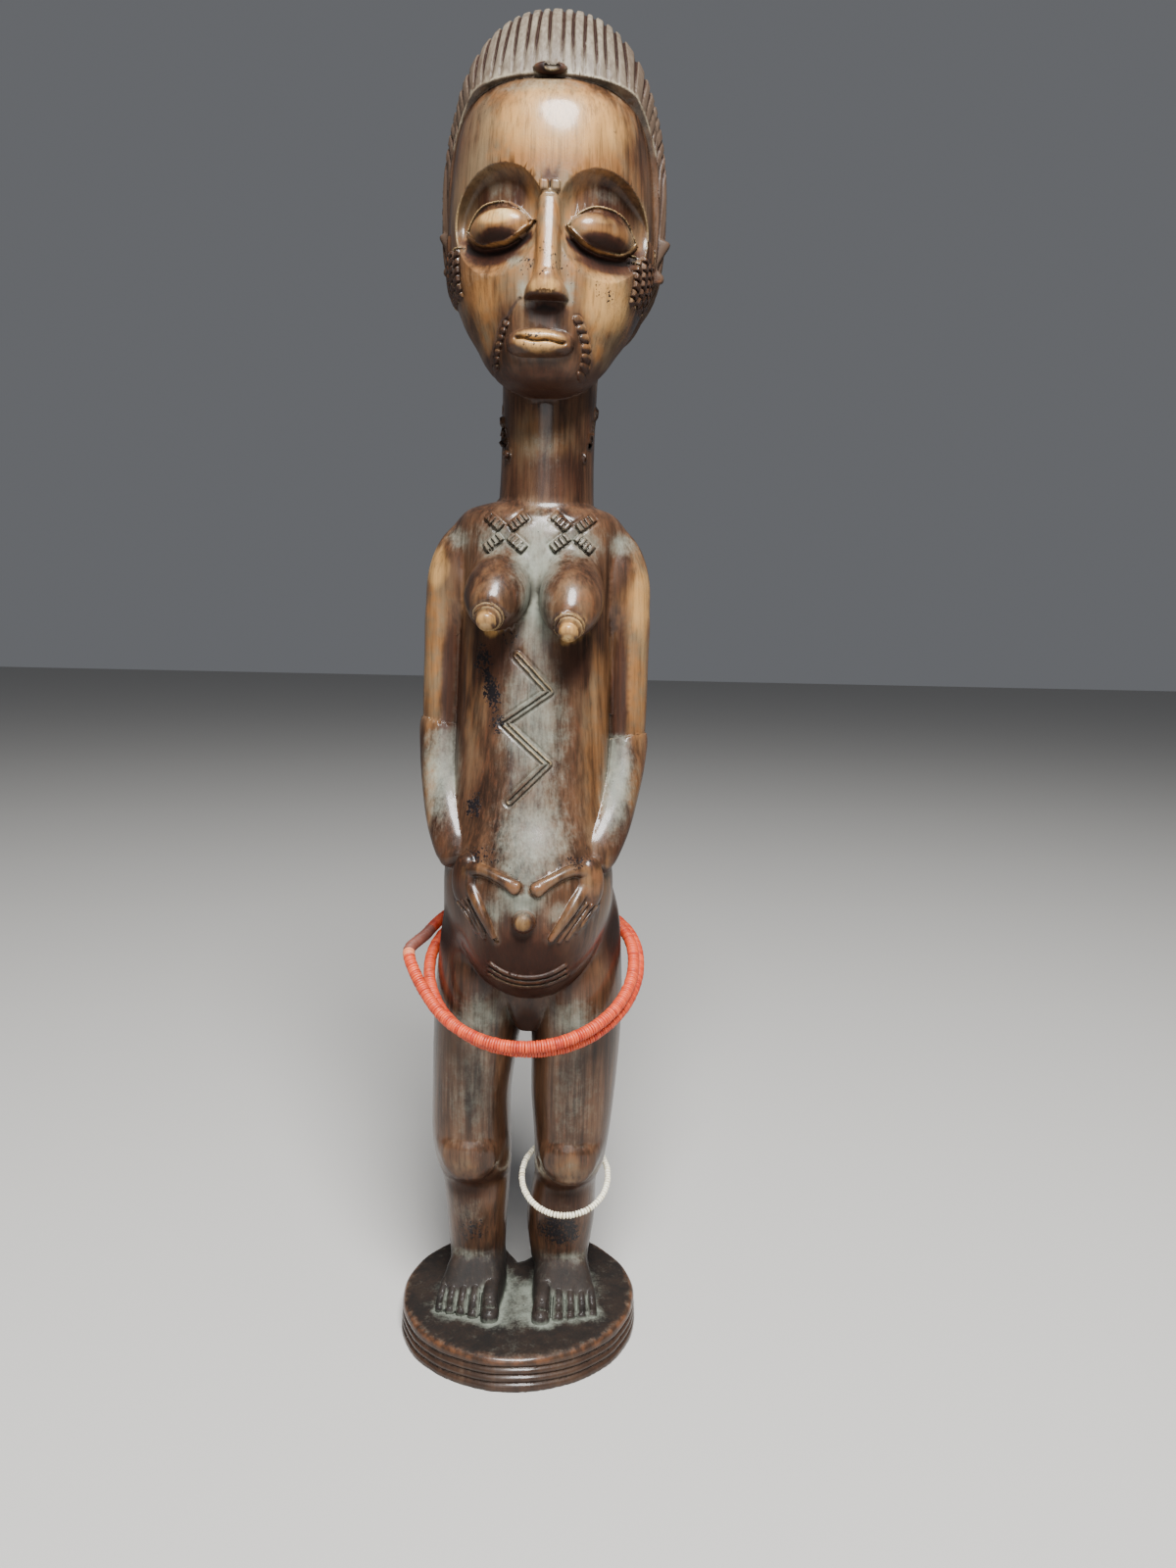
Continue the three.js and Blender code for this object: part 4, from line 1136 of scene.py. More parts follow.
points, faces = coarse_skin()
points = block.settle(points, rounds=3)
for limit in SPLIT_LIMITS:
    for _ in range(3):
        points, faces, split_count = split_once(points, faces, limit)
        if split_count < FEW_SPLITS:
            break
    points = relax(points, faces)
points = block.settle(points)


def placed(name, data):
    """A new object in the scene."""
    made = bpy.data.objects.new(name, data)
    bpy.context.collection.objects.link(made)
    return made


mesh = bpy.data.meshes.new("carved_figure")
mesh.from_pydata(points.tolist(), [], faces.tolist())
carved_figure = placed("carved_figure", mesh)
thinning = carved_figure.modifiers.new("thinning", "DECIMATE")
thinning.ratio = min(TRIANGLES / len(faces), 1)
thinner_figure = carved_figure.evaluated_get(bpy.context.evaluated_depsgraph_get())
thinned = bpy.data.meshes.new_from_object(thinner_figure)
carved_figure.modifiers.clear()
carved_figure.data = thinned
bpy.data.meshes.remove(mesh)
mesh = thinned
mesh.name = "carved_figure"
flat = np.empty(len(mesh.vertices) * 3, np.float32)
mesh.vertices.foreach_get("co", flat)
# thinning moves points a little off the surface, so they settle on it once more
points = block.settle(flat.reshape(-1, 3).astype(float), rounds=1)
print("carved_figure triangles:", len(faces), "thinned to", len(mesh.polygons))

# Wear, dirt and painted light on the carving: hands have polished the standing parts to bronze and gold,
# pale dust has settled in the hollows and on the chest, belly and forearms, and tar has stuck in a few
# patches. Painted shade darkens the undersides, creases and cuts, with a painted shadow under each eye
# and under the nose, and a painted highlight lies on the upper half of each eyeball. Each is kept as a
# share on the surface, where the wood's colours below can use it.
body = unlean(points)
x, y, z = body.T
upright_z = points[:, 2]
normals = unit(block.slope(points, reach=0.2)[0])


def closeness(reach):
    """How much a place is shut in by wood around it, 0 on open ground and 1 in a deep cut."""
    return np.clip(1 - block.depth(points + normals * reach) / reach, 0, 1)


def sharpness(reach):
    """How much a place stands out as an edge, 0 on open ground and 1 on a sharp corner."""
    return np.clip(1 + block.depth(points - normals * reach) / reach, 0, 1)


def soft_spots(spots, behind=5.0, core=0.35):
    """Soft patches seen from the front: x, z, half width, half height and strength of each."""
    found = np.zeros(len(points))
    for x, z, wide, tall, strength in spots:
        out = np.hypot((body[:, 0] - x) / wide, (body[:, 2] - z) / tall)
        found = np.maximum(found, strength * (1 - smooth_step(out, core, 1.0)))
    return found * smooth_step(behind - body[:, 1], 0, 8)


BRONZE_SPOTS = [
    # head and neck
    (0, 420, 44, 48, 1), (1, 450, 40, 20, 0.8), (-24, 386, 13, 26, 0.9), (22, 386, 14, 26, 1),
    (0, 340, 19, 32, 0.5),
    # arms, flanks and breasts
    (-36, 276, 14, 56, 0.75), (37, 276, 14, 56, 0.8), (-38, 215, 5, 30, 0.6), (38, 212, 5, 30, 0.6),
    (-22, 262, 8, 46, 0.35), (24, 244, 10, 52, 0.55), (-15, 290, 11, 18, 0.3), (14, 288, 11, 18, 0.3),
    # wrists, hips and knees
    (-24, 192, 7, 9, 0.45), (25, 192, 7, 9, 0.45), (-30, 178, 6, 30, 0.4), (30, 178, 6, 34, 0.5),
    (-21, 74, 9, 9, 0.35), (18.5, 74, 11, 14, 0.5),
]
GOLD_SPOTS = [
    # forehead, eyeballs, nose, cheeks and lips; the eyeball spots are a painted highlight on their upper
    # halves, and on the forehead and cheeks the gold is polish and partly a painted highlight
    (4, 446, 36, 20, 0.85), (-16, 416, 11, 4.4, 1.3), (18, 416.4, 9, 3.6, 0.9), (1, 402, 5.5, 26, 0.6),
    (1, 391.5, 8, 4.5, 1), (21, 391, 14, 17, 0.8), (-19, 392, 11, 14, 0.5), (-0.7, 375.6, 13, 6, 1.0),
    # upper arms
    (-38, 302, 9, 13, 0.8), (38, 292, 8, 20, 0.75), (-39, 262, 8, 34, 0.35), (40, 262, 8, 38, 0.4),
    # breasts and nipples, navel, knees
    (14, 281, 9, 8, 0.85), (-15, 283, 9, 8, 0.8), (-15.8, 280, 5, 4.5, 1.2), (12.4, 277, 5, 4.5, 1.2),
    (*NAVEL, 5.8, 5.8, 0.95), (-21, 71, 8, 5, 0.3), (18.5, 71, 9, 6, 0.35),
]
CRUST_SPOTS = [
    # edge of the hair, brows, cheeks, beside the nose, neck
    (0, 458, 30, 5, 0.5), (-15, 426, 12, 6, 0.6), (19, 426, 12, 6, 0.6), (-24, 398, 10, 6, 0.45),
    (-10, 402, 6, 5, 0.7), (-7, 393, 4, 10, 0.6), (9, 393, 4, 10, 0.55), (1, 345, 15, 14, 0.5),
    # chest and shoulders
    (0, 308, 16, 24, 1), (0, 285, 10, 32, 0.9), (-30, 312, 10, 8, 0.7), (30, 312, 10, 8, 0.8),
    (-16, 312, 18, 12, 0.7), (14, 312, 18, 12, 0.7),
    # belly, forearms and hands; on the belly the pale dust also stands in part for a painted highlight
    (1, 246, 22, 48, 0.8), (4, 222, 18, 20, 0.6), (2, 206, 25, 33, 0.8), (1, 196, 27, 13, 0.75),
    (-34, 228, 13, 36, 0.9), (31.5, 226, 10, 36, 0.95), (-1, 187, 17, 11, 1), (-11, 181, 7, 9, 0.8),
    (12, 181, 7, 9, 0.8),
    # legs, feet and base
    (-16, 137, 18, 14, 0.8), (18, 137, 18, 14, 0.8), (-20, 108, 18, 44, 0.5), (19, 106, 18, 44, 0.45),
    (-20, 52, 14, 18, 0.4), (17, 52, 14, 18, 0.35), (-20, 33, 16, 4, 0.55), (18, 33, 16, 4, 0.55),
    (0, 12, 10, 7, 0.6),
]
# Painted shade, as patches seen from the front: darker where shade falls under overhangs, in creases and
# between the parts
SHADE_SPOTS = [
    # hair lug, brows, lower lids and below the eyes
    (-0.4, 464.8, 7, 4, 1.2), (1, 428.5, 5, 4, 0.8), (-16, 424, 15, 12, 0.75), (19, 423, 15, 12, 0.75),
    (-16, 409.4, 12, 4, 1.05), (19, 409, 13, 4, 1.05), (-16, 405, 13, 4.5, 1), (19, 404, 13, 4.5, 1),
    # under the nose, jaw, chin and neck
    (1, 386.5, 8, 3, 1.3), (1, 385.5, 9, 3.5, 0.8), (-30, 376, 12, 18, 0.75), (28, 374, 12, 16, 0.6),
    (0, 365, 16, 6, 0.8), (0, 334, 24, 12, 0.4),
    # between the arms and the trunk, under the breasts
    (-32, 300, 7, 16, 0.4), (30, 302, 6, 12, 0.3), (-31, 258, 6, 46, 0.8), (31, 258, 4, 44, 0.6),
    (-33, 200, 6, 20, 0.5), (35, 200, 6, 24, 0.7), (-15, 270, 9, 12, 0.8), (13, 268, 9, 10, 0.8),
    # around and under the belly, between the thighs, below the knees
    (0, 177, 9, 9, 0.6), (-26, 176, 9, 30, 0.55), (0, 163, 30, 20, 1), (-32, 166, 9, 16, 1.15),
    (34, 166, 9, 16, 1.15), (0, 152, 30, 8, 0.7), (1, 130, 8, 14, 1), (-20, 62, 14, 8, 0.7),
    (17, 58, 14, 10, 0.6),
]
TAR_SPOTS = [
    # face
    (0, 400, 18, 8, 0.35), (20, 394, 8, 4, 0.42), (-0.5, 376, 10, 4, 0.42),
    # left flank
    (-9, 277, 5, 6, 0.5), (-18.5, 268, 5, 9, 0.85), (-15, 258, 5, 9, 0.85), (-12.5, 248, 4, 9, 0.75),
    (-20, 216, 5, 6, 0.85),
    # above the thumbs, on the shins
    (-15, 200, 10, 4, 0.6), (18, 199, 10, 4, 0.55), (16, 45, 13, 11, 0.85), (-18, 43, 10, 8, 0.5),
]
LIPS = (-0.7, 374.5, 14, 7, 1)
THUMB_REACH = 3.4
FINGER_REACH = 2.8
# heights from and to
ANKLES = (28, 38)
OVERHANGS = (30, 410)
HAND_HEIGHTS = (146, 202)
# the upper arms, from how far out and up to where
ARM_FROM = 26
ARM_TOP = 304

in_hair = smooth_step(-hairline(body), -0.4, 0.6) * smooth_step(2.5 - hair_cover(body), 0, 1.5)
in_hair = in_hair * (z > HAIR_LOWEST + 2)
in_front = y < -8
# a painted shadow in a crescent under each eye, and the worn raised rim around it
painted_shadow_under_eyes, eye_rims = np.zeros(len(points)), np.zeros(len(points))
for eye in EYES:
    from_rim = almond(eye, x, z)
    below = bump(from_rim - 2, 2.6) * smooth_step(eye["z"] - 1 - z, 0, 3)
    painted_shadow_under_eyes = np.maximum(painted_shadow_under_eyes, below * in_front)
    eye_rims = np.maximum(eye_rims, bump(from_rim - RIM["at"], 0.6) * in_front)
# painted shade on surfaces that face downwards, from the ankles to below the brows, but not on the lips
facing_down = smooth_step(-normals[:, 2], 0.15, 0.8) * (z > OVERHANGS[0]) * (z < OVERHANGS[1])
facing_down *= 1 - 0.9 * soft_spots([LIPS])
upper_arm = (np.abs(x) > ARM_FROM) * smooth_step(z, ELBOW - 1.5, ELBOW) * smooth_step(ARM_TOP - z, 0, 8)
base_front = smooth_step(-y, 22, 32) * (z < 15)
clean = (1 - 0.8 * upper_arm) * (1 - 0.85 * base_front)
line_tops, fingers = np.zeros(len(points)), np.zeros(len(points))
belly_front = np.flatnonzero((z > HAND_HEIGHTS[0]) & (z < HAND_HEIGHTS[1]) & (y < -14))
belly = body[belly_front]
for corners in worn_lines:
    line_tops[belly_front] = np.maximum(line_tops[belly_front], bump(on_line(belly, corners), 1.1))
for hand in HANDS:
    for part, reach in (("thumb", THUMB_REACH), ("finger", FINGER_REACH)):
        found = smooth_step(reach - on_line(belly, hand[part]), 0, 1.4)
        fingers[belly_front] = np.maximum(fingers[belly_front], found)
# all painted shade together, taken off where worn rims, lines and fingers stand out
shaded = np.maximum(np.maximum(soft_spots(SHADE_SPOTS), 1.4 * painted_shadow_under_eyes), 0.9 * facing_down)
shaded = shaded * (1 - eye_rims) * (1 - line_tops) * (1 - 0.8 * fingers)
worn_gold = np.maximum(soft_spots(GOLD_SPOTS), 0.1 * fingers) + 0.6 * eye_rims + 0.5 * line_tops
crown = smooth_step(z, 440, 468) * smooth_step(40 - y, 0, 34)
crown = crown * (1 - 0.8 * smooth_step(np.abs(x - HAIR["centre"]), 14, 32))
from_base_edge = np.hypot(points[:, 0], points[:, 1]) - BASE_RADIUS
above_base_side = smooth_step(upright_z, 12, 13.2)
shares = {
    "bronze": np.maximum(soft_spots(BRONZE_SPOTS), 0.35 * fingers),
    "gold": np.clip(worn_gold, 0, 1.5),
    "crust": np.clip(soft_spots(CRUST_SPOTS, core=0.1), 0, 1) * clean * (1 - fingers),
    "shade": shaded,
    "tar": soft_spots(TAR_SPOTS),
    "hair": in_hair,
    "groove": hair_groove(body) * in_hair,
    "close": np.clip(closeness(1.0) * 0.7 + closeness(4.0) * 0.7, 0, 1),
    "edge": sharpness(0.8),
    "low": (1 - smooth_step(z, *ANKLES)) * above_base_side,
    "side": 1 - above_base_side,
    "crown": crown,
    "hem": bump(hairline(body) + 0.5, 0.6) * (z > 446) * (hair_cover(body) < 1),
    "rim": bump(from_base_edge + 1.6, 1.8) * smooth_step(upright_z, 9, 12),
}


def keep_shares(mesh, shares):
    """Keeps each share on the points of a mesh, where its material finds it."""
    for name, share in shares.items():
        layer = mesh.attributes.new(name, "FLOAT", "POINT")
        layer.data.foreach_set("value", share.astype(np.float32))


mesh.vertices.foreach_set("co", (points * MM).astype(np.float32).ravel())
keep_shares(mesh, shares)
mesh.polygons.foreach_set("use_smooth", [True] * len(mesh.polygons))
mesh.update()
mesh.normals_split_custom_set_from_vertices(normals.tolist())


class Channel:
    """A value in a material, which takes part in sums like a number."""

    def __init__(self, finish, socket):
        self.finish = finish
        self.socket = socket

    def maths(self, operation, *values):
        return self.finish.node("ShaderNodeMath", {"operation": operation}, dict(enumerate(values)))

    def __add__(self, other):
        return self.maths("ADD", self, other)

    def __sub__(self, other):
        return self.maths("SUBTRACT", self, other)

    def __mul__(self, other):
        return self.maths("MULTIPLY", self, other)

    def __rsub__(self, other):
        return self.maths("SUBTRACT", other, self)

    __radd__ = __add__
    __rmul__ = __mul__


class Finish:
    """A material, with the shader that its channels feed."""

    def __init__(self, name):
        self.material = bpy.data.materials.new(name)
        self.material.use_nodes = True
        self.tree = self.material.node_tree
        self.tree.nodes.clear()
        shader = self.node("ShaderNodeBsdfPrincipled")
        self.shader = shader.socket.node
        self.node("ShaderNodeOutputMaterial", sockets={"Surface": shader}, output=None)
        self.place = self.node("ShaderNodeTexCoord", output="Object")

    def node(self, kind, settings=None, sockets=None, output=0):
        made = self.tree.nodes.new(kind)
        for name, value in (settings or {}).items():
            setattr(made, name, value)
        for name, value in (sockets or {}).items():
            self.give(made.inputs[name], value)
        return None if output is None else Channel(self, made.outputs[output])

    def give(self, socket, value):
        """Joins a channel to a socket, or sets the socket to a constant."""
        if isinstance(value, Channel):
            self.tree.links.new(value.socket, socket)
        else:
            socket.default_value = value

    def share(self, name):
        """A share that is kept on the surface."""
        return self.node("ShaderNodeAttribute", {"attribute_name": name}, output="Fac")

    def noise(self, size, detail=3.0, stretch=(1, 1, 1), roughness=0.55):
        """Soft noise from 0 to 1 with marks of a size in millimetres, drawn out by stretch."""
        scale = [1 / (size * MM * s) for s in stretch]
        place = self.node("ShaderNodeVectorMath", {"operation": "MULTIPLY"}, {0: self.place, 1: scale})
        sockets = {"Vector": place, "Scale": 1, "Detail": detail, "Roughness": roughness}
        return self.node("ShaderNodeTexNoise", sockets=sockets)

    def ease(self, value, low, high, to_low=0.0, to_high=1.0):
        """Turns a value from low to high into one from to_low to to_high, eased at both ends."""
        sockets = {0: value, 1: low, 2: high, 3: to_low, 4: to_high}
        return self.node("ShaderNodeMapRange", {"interpolation_type": "SMOOTHSTEP"}, sockets)

    def mix(self, share, first, second):
        """A colour between two, given as channels or as red, green and blue."""
        first, second = [c if isinstance(c, Channel) else (*c, 1) for c in (first, second)]
        settings = {"data_type": "RGBA", "clamp_factor": True}
        return self.node("ShaderNodeMix", settings, {0: share, 6: first, 7: second}, output=2)

    def layers(self, tone, rows):
        """Lays colours over a tone one after the other, each by its share."""
        for share, paint in rows:
            tone = self.mix(share, tone, paint)
        return tone

    def feed(self, **sockets):
        """Feeds the shader's sockets, named with _ for a space."""
        for name, value in sockets.items():
            self.give(self.shader.inputs[name.replace("_", " ")], value)

    def bump(self, height, distance, strength=1.0):
        """Fine relief in millimetres, too small for the mesh."""
        sockets = {"Strength": strength, "Distance": distance * MM, "Height": height}
        self.feed(Normal=self.node("ShaderNodeBump", sockets=sockets))


def colour(red, green, blue):
    """A colour as the eye reads it, from 0 to 255, in the shader's own measure."""
    shares = [value / 255 for value in (red, green, blue)]
    return tuple(
        share / 12.92 if share < 0.04 else ((share + 0.055) / 1.055) ** 2.4 for share in shares)


DARK_WOOD = colour(32, 21, 15)
SHADED_WOOD = colour(46, 22, 13)
BROWN_WOOD = colour(82, 58, 41)
RED_WOOD = colour(88, 53, 34)
BRONZE = colour(142, 98, 56)
OLIVE_WORN = colour(112, 94, 70)
GOLD_WOOD = colour(186, 142, 84)
PALE_WOOD = colour(190, 164, 118)
SHADOW_BLACK = colour(14, 8, 6)
DUST_GREY = colour(130, 136, 124)
TAR_BLACK = colour(22, 19, 21)
HAIR_GREY = colour(120, 112, 98)
HAIR_EDGE = colour(160, 150, 128)
HAIR_SIDE = colour(70, 56, 46)
HAIR_BROWN = colour(38, 24, 20)
FOOT_GREY = colour(28, 27, 26)
SIDE_BROWN = colour(48, 36, 29)
WORN_RIM = colour(112, 72, 46)

wood = Finish("worn_carved_wood")
grain = wood.noise(2, 5, (0.5, 0.5, 10), 0.65)
streaks = wood.noise(5, 4, (0.8, 0.8, 9))
clouds = wood.noise(16, 4, (1, 1, 2))
patches = wood.noise(4, 5)
specks = wood.noise(0.9, 3)
hollow = wood.share("close")
edge = wood.share("edge")
low = wood.share("low")
hair = wood.share("hair")
shade = wood.share("shade")
worn = (streaks - 0.5) * 0.8 + (clouds - 0.5) * 1.1
speckled = (patches - 0.5) * 0.8 + (streaks - 0.5) * 0.5 + (grain - 0.5) * 0.7 + (specks - 0.5) * 0.4
dusty = wood.share("crust") + hollow * (0.35 + low * 0.6) + speckled
dust = wood.ease(dusty + low * 0.15, 0.2, 1.4)
bronze = wood.ease(wood.share("bronze") + worn - shade, 0.05, 1.05)
gold = wood.ease(wood.share("gold") + worn * 0.6 - shade * 0.6, 0.3, 1.2)
broken = (specks - 0.5) * 2.4 + (patches - 0.5) * 1.2
tar = wood.ease(wood.share("tar") + broken, 0.6, 0.72)

polished = wood.mix(wood.ease(clouds + (patches - 0.5) * 0.4, 0.38, 0.62), BRONZE, OLIVE_WORN)
combed = wood.ease(streaks * 0.7 + grain * 0.8, 0.55, 0.95, 0.3, 1)
ridge = wood.mix(wood.share("crown") * combed, HAIR_SIDE, HAIR_GREY)
strands = wood.mix(wood.ease(wood.share("groove") + (grain - 0.5) * 0.8, 0.1, 0.7), ridge, HAIR_BROWN)
LAYERS = [
    # share and colour, from the bare wood up
    (wood.ease(grain, 0.45, 0.75) * 0.5, RED_WOOD),
    # painted shade
    (shade * 0.85, SHADED_WOOD),
    (bronze * 0.85, polished),
    (gold * 0.9, GOLD_WOOD),
    (wood.ease(wood.share("gold"), 0.9, 1.4) * wood.ease(patches, 0.3, 0.7), PALE_WOOD),
    (wood.ease(0.55 - grain, 0.0, 0.25) * 0.4, DARK_WOOD),
    (wood.ease(specks, 0.6, 0.75) * gold * 0.5, BROWN_WOOD),
    (low * 0.85, FOOT_GREY),
    (wood.share("side") * 0.7, SIDE_BROWN),
    (dust * (1 - gold * 0.6) * (1 - shade * 0.5) * 0.75, DUST_GREY),
    # painted shade: hollows and cuts darker, less so on the feet
    (wood.ease(hollow, 0.6, 1.05) * (0.65 - low * 0.55), DARK_WOOD),
    # painted shadow: near black where the painted shade is deepest, as under the eyes and the nose
    (wood.ease(shade, 0.85, 1.3) * 0.9, SHADOW_BLACK),
    (wood.ease(edge + (specks - 0.5) * 0.4, 0.4, 0.95) * 0.3, PALE_WOOD),
    (wood.share("rim") * wood.ease(patches, 0.4, 0.65) * 0.55, WORN_RIM),
    (hair * 0.9, strands),
    (wood.share("hem") * wood.ease(patches, 0.3, 0.6) * 0.55, HAIR_EDGE),
    (tar, TAR_BLACK),
]
bare_wood = wood.mix(wood.ease(clouds * 0.5 + streaks * 0.5, 0.35, 0.65), DARK_WOOD, BROWN_WOOD)
wood.feed(
    Base_Color=wood.layers(bare_wood, LAYERS),
    Roughness=wood.ease(
        dust * 0.5 + (specks - 0.5) * 0.3 + hair * 0.3 + low * 0.8 + shade * 0.6, 0, 1, 0.36, 0.66),
    Coat_Weight=wood.ease(dust + hair * 0.7 + low * 0.5 + shade * 0.7, 0, 0.7, 0.38, 0),
    Coat_Roughness=0.15, Specular_IOR_Level=0.16)
wood.bump(grain * 0.6 + specks * 0.3 + patches * 0.4 + tar * 0.8, 0.22, 0.7)

mesh.materials.append(wood.material)
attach(carved_figure, "root")
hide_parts("figure")

# Hip string: hundreds of thin red discs on a cord that is wound twice around the hips, lowest at the
# front. The two turns lie against each other and change places at the back, and a knot pulls one of
# them out on the left, beside a few worn grey discs. It hangs loose on the wood.
HIP_STRING = {
    "radius": 2.35, "spacing": 2.55, "centre": (0.6, -0.5), "across": 41.3, "forward": 41, "back": 45.2,
    "side": 152.4, "dip": 21.8, "rise": 12, "power": 2.35,
}
KNOT = {"at": 0.27, "reach": 0.022, "out": 4.4, "up": 6.5, "grey_discs": 26}
DISC_PITCH = 0.98
DISC_SIDES = 14
BEAD_EDGE = math.radians(50)
SEED = 7


def fuller(value, power):
    """A sine or cosine for a point on a rounded outline, fuller than an ellipse over power 2."""
    return np.sign(value) * np.abs(value) ** (2 / power)


def hip_turns(t):
    """Places along both turns of the string, for t from 0 to 1, in upright body coordinates."""
    angle = t * 4 * math.pi
    front = np.sin(angle) < 0
    power = np.where(front, 2, HIP_STRING["power"])
    across, deep = fuller(np.cos(angle), power), fuller(np.sin(angle), power)
    # the two turns wind about each other, mostly at the back, so that they meet as one closed string
    turned_by = (angle - math.pi) / 2 + 0.61 + 0.64 * np.sin(angle - 0.28)
    turned_by -= 0.15 * np.maximum(-np.sin(angle), 0) ** 6
    pull = np.exp(-(((t - KNOT["at"]) / KNOT["reach"]) ** 2))
    out = HIP_STRING["spacing"] * np.cos(turned_by) + KNOT["out"] * pull
    up = HIP_STRING["spacing"] * np.sin(turned_by) + KNOT["up"] * pull
    reach = np.where(front, HIP_STRING["forward"], HIP_STRING["back"])
    slope = np.where(front, HIP_STRING["dip"], HIP_STRING["rise"])
    return np.column_stack([
        HIP_STRING["centre"][0] + across * (HIP_STRING["across"] + out),
        HIP_STRING["centre"][1] + deep * (reach + out),
        HIP_STRING["side"] + deep * slope + up])


def even_stops(places, pitch):
    """Places at even steps along a closed line, and the direction of the line at each."""
    closed = np.vstack([places, places[:1]])
    run = run_along(closed)
    at = places_at(np.linspace(0, run[-1], round(run[-1] / pitch), endpoint=False), run, closed)
    return at, unit(np.roll(at, -1, axis=0) - np.roll(at, 1, axis=0)), run[-1]


def bead_mesh(at, way, profile, sides, radius, thick, turn=None):
    """A closed bead around each stop, from rings at the profile's shares of thickness and radius."""
    first = unit(np.cross(way, (0, 0, 1.0)))
    second = np.cross(way, first)
    angles = (np.arange(sides) * 2 * math.pi / sides)[None]
    if turn is not None:
        angles = angles + turn[:, None]
    ring = first[:, None] * np.cos(angles)[..., None] + second[:, None] * np.sin(angles)[..., None]
    rows = []
    for along_share, out in profile:
        shift = way * (along_share * thick)[:, None]
        rows.append(at[:, None] + shift[:, None] + ring * (out * radius)[:, None, None])
    places = np.stack(rows, axis=1)
    beads, rings = places.shape[:2]
    index = np.arange(beads * rings * sides).reshape(beads, rings, sides)
    faces = []
    for r in range(rings - 1):
        a, b = index[:, r], index[:, r + 1]
        faces.append(np.stack([a, np.roll(a, -1, 1), np.roll(b, -1, 1), b], axis=-1).reshape(-1, 4))
    faces += [index[:, 0, ::-1], index[:, -1]]
    return places.reshape(-1, 3), [face for part in faces for face in part.tolist()]


def threaded(name, route, pitch, tilt, radius, radius_change, thickness):
    """The beads of a closed string: place, direction, radius and thickness, none quite like another."""
    at, way, length = even_stops(route, pitch)
    count = len(at)
    print(name, count, "length mm:", round(length))
    at = at + chance.normal(0, 0.04, at.shape)
    way = unit(way + chance.normal(0, tilt, way.shape))
    radius = radius * (0.98 + chance.uniform(*radius_change, count))
    return at, way, radius, pitch * chance.uniform(*thickness, count)


def string_piece(name, places, faces, finish, shares=None):
    made = bpy.data.meshes.new(name)
    made.from_pydata((lean(places) * MM).tolist(), [], faces)
    made.validate()
    keep_shares(made, shares or {})
    made.materials.append(finish.material)
    made.polygons.foreach_set("use_smooth", [True] * len(made.polygons))
    made.set_sharp_from_angle(angle=BEAD_EDGE)
    return placed(name, made)


chance = np.random.default_rng(SEED)
hip_route = hip_turns(np.linspace(0, 1, 2000, endpoint=False))
at, way, radius, thick = threaded(
    "hip discs:", hip_route, DISC_PITCH, 0.025, HIP_STRING["radius"], (-0.03, 0.02), (0.85, 0.96))
count = len(at)
DISC_PROFILE = [(-0.5, 0.45), (-0.5, 0.93), (-0.3, 1), (0.3, 1), (0.5, 0.93), (0.5, 0.45)]
places, disc_faces = bead_mesh(
    at, way, DISC_PROFILE, DISC_SIDES, radius, thick, chance.uniform(0, 6, count))
knot_disc = np.linalg.norm(at - hip_turns(np.array([KNOT["at"]]))[0], axis=1).argmin()
from_knot = np.arange(count) - knot_disc
grey = smooth_step(from_knot, -KNOT["grey_discs"] - 4, -KNOT["grey_discs"]) * (from_knot < -1)
pale = 1.0 * (np.abs(from_knot) <= 1)
stain = np.clip(chance.normal(0.35, 0.28, count), 0, 1)
per_disc_shares = {"stain": stain, "grey": grey, "pale": pale}

discs = Finish("red_discs")
RED_DISC = colour(164, 40, 20)
SALMON_DISC = colour(206, 78, 38)
STAINED_DISC = colour(88, 32, 26)
GREY_DISC = colour(92, 66, 58)
KNOT_THREAD = colour(206, 128, 90)
red = discs.layers(discs.mix(discs.share("stain"), SALMON_DISC, RED_DISC), [
    (discs.ease(discs.noise(3.2, 4), 0.52, 0.7) * 0.5, STAINED_DISC),
    (discs.share("grey") * 0.85, GREY_DISC),
    (discs.share("pale") * 0.8, KNOT_THREAD),
])
discs.feed(Base_Color=red, Roughness=discs.ease(discs.noise(2, 3), 0.3, 0.7, 0.42, 0.6))
discs.bump(discs.noise(0.8, 3), 0.1, 0.5)
hip_discs = string_piece(
    "hip_discs", places, disc_faces, discs,
    {name: np.repeat(share, len(places) // count) for name, share in per_disc_shares.items()})
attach(hip_discs, "root")
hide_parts("hip_beads")

# Leg string: small white seed beads of glass on a thread, in one loose turn below the knee on the
# right. It is lower at the front and hangs clear of the wood.
LEG_STRING = {"radius": 1.25, "centre": (17.1, -3.6, 64.3), "across": 17.2, "deep": 17.5, "tilt": 0.45}
BEAD_PITCH = 1.22
BEAD_SIDES = 12

angle = np.linspace(0, 2 * math.pi, 1200, endpoint=False)
deep = LEG_STRING["deep"] * np.sin(angle)
x, y, z = LEG_STRING["centre"]
leg_turn = np.column_stack([
    x + LEG_STRING["across"] * np.cos(angle), y + deep, z + LEG_STRING["tilt"] * deep])
at, way, radius, thick = threaded(
    "leg beads:", leg_turn, BEAD_PITCH, 0.05, LEG_STRING["radius"], (-0.06, 0.04), (0.76, 0.9))
BEAD_PROFILE = [
    (-0.46, 0.42), (-0.5, 0.66), (-0.4, 0.88), (-0.18, 1), (0.18, 1), (0.4, 0.88), (0.5, 0.66),
    (0.46, 0.42),
]
places, bead_faces = bead_mesh(at, way, BEAD_PROFILE, BEAD_SIDES, radius, thick)

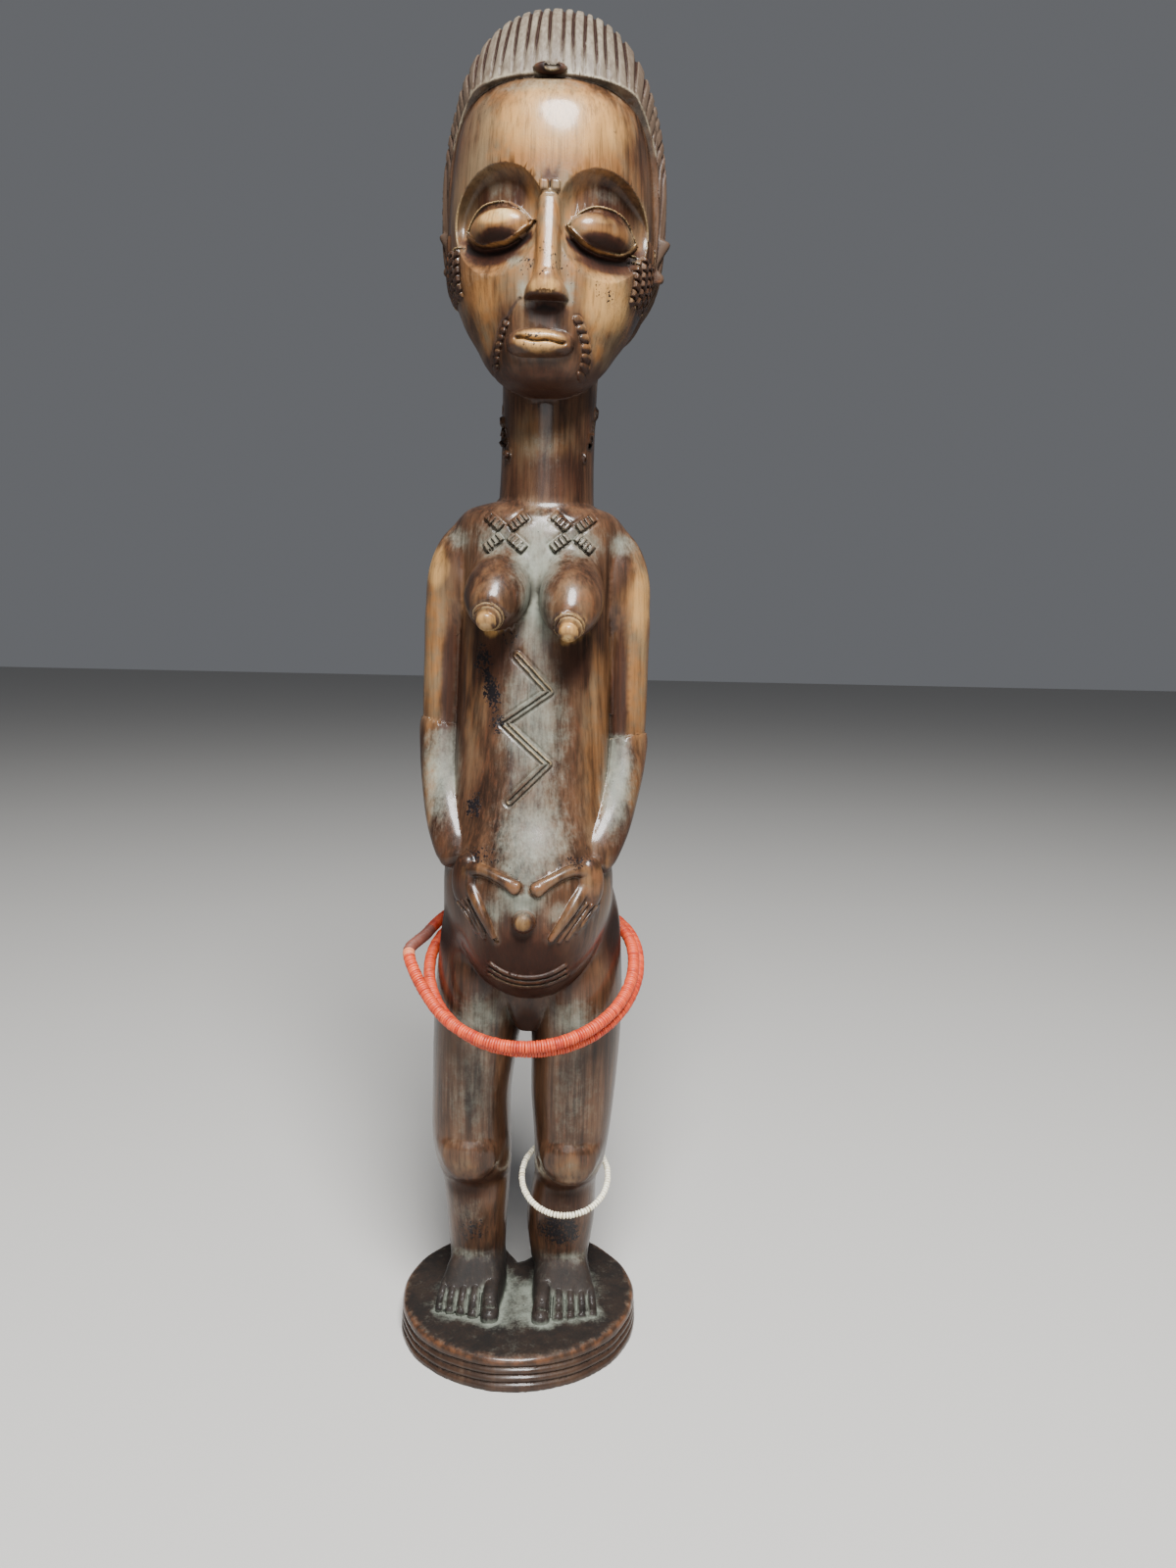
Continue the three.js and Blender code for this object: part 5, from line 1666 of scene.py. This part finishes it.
glass = Finish("white_beads")
WHITE_BEAD = colour(236, 230, 208)
YELLOWED_BEAD = colour(214, 200, 164)
glass.feed(
    Base_Color=glass.mix(glass.ease(glass.noise(3, 3), 0.45, 0.75), WHITE_BEAD, YELLOWED_BEAD),
    Roughness=glass.ease(glass.noise(1.5, 2), 0.3, 0.7, 0.2, 0.4))
glass.bump(glass.noise(0.6, 2), 0.05, 0.4)
white_beads = string_piece("white_beads", places, bead_faces, glass)
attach(white_beads, "root")
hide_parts("leg_beads")

# Floor and light: a plain pale floor that the figure stands on, one broad soft lamp above it in front,
# which gives the highlights, and a weak low one that opens the shadows.
FLOOR_HALF = 6.0
floor_mesh = bpy.data.meshes.new("floor")
corners = [(x * FLOOR_HALF, y * FLOOR_HALF, 0) for x, y in ((-1, -1), (1, -1), (1, 1), (-1, 1))]
floor_mesh.from_pydata(corners, [], [(0, 1, 2, 3)])
floor = placed("floor", floor_mesh)
floor_paint = Finish("pale_floor")
floor_paint.feed(Base_Color=(*colour(186, 184, 180), 1), Roughness=0.85)
floor_mesh.materials.append(floor_paint.material)

world = bpy.data.worlds.new("soft_room")
bpy.context.scene.world = world
world.use_nodes = True
sky = world.node_tree.nodes["Background"].inputs
sky["Color"].default_value = (0.9, 0.93, 1.0, 1)
sky["Strength"].default_value = 0.15

LAMPS = [
    # name, place, size and power
    ("key", (0.14, -0.78, 1.26), 0.6, 62),
    ("front", (-0.1, -1.35, 0.6), 0.7, 3.5),
]
MIDDLE = Vector((0, 0, 0.27))
for name, place, size, power in LAMPS:
    lamp = bpy.data.lights.new(name, "AREA")
    lamp.shape = "DISK"
    lamp.size = size
    lamp.energy = power
    holder = placed(name, lamp)
    holder.location = place
    holder.rotation_euler = (MIDDLE - Vector(place)).to_track_quat("-Z", "Y").to_euler()

# Camera: held close, a little above the middle of the figure as in the photograph, and tilted down
# and slightly sideways.
CAMERA_PLACE = Vector((0.0302, -0.4319, 0.281))
HEADING = math.radians(-0.8)
PITCH = math.radians(7.8)
ROLL = math.radians(1.17)
FOCAL_PIXELS = 1155
PHOTO_HEIGHT = 1600
SENSOR = 36.0

camera_data = bpy.data.cameras.new("camera")
camera_data.sensor_width = SENSOR
camera_data.lens = FOCAL_PIXELS / PHOTO_HEIGHT * SENSOR
camera_data.clip_start = 0.01
camera = placed("camera", camera_data)
ahead = Vector((
    math.sin(HEADING) * math.cos(PITCH), math.cos(HEADING) * math.cos(PITCH), -math.sin(PITCH)))
level = Vector((math.cos(HEADING), -math.sin(HEADING), 0))
upward = level.cross(ahead)
right = level * math.cos(ROLL) + upward * math.sin(ROLL)
up = upward * math.cos(ROLL) - level * math.sin(ROLL)
camera.matrix_world = Matrix.Translation(CAMERA_PLACE) @ Matrix((right, up, -ahead)).transposed().to_4x4()
bpy.context.scene.camera = camera
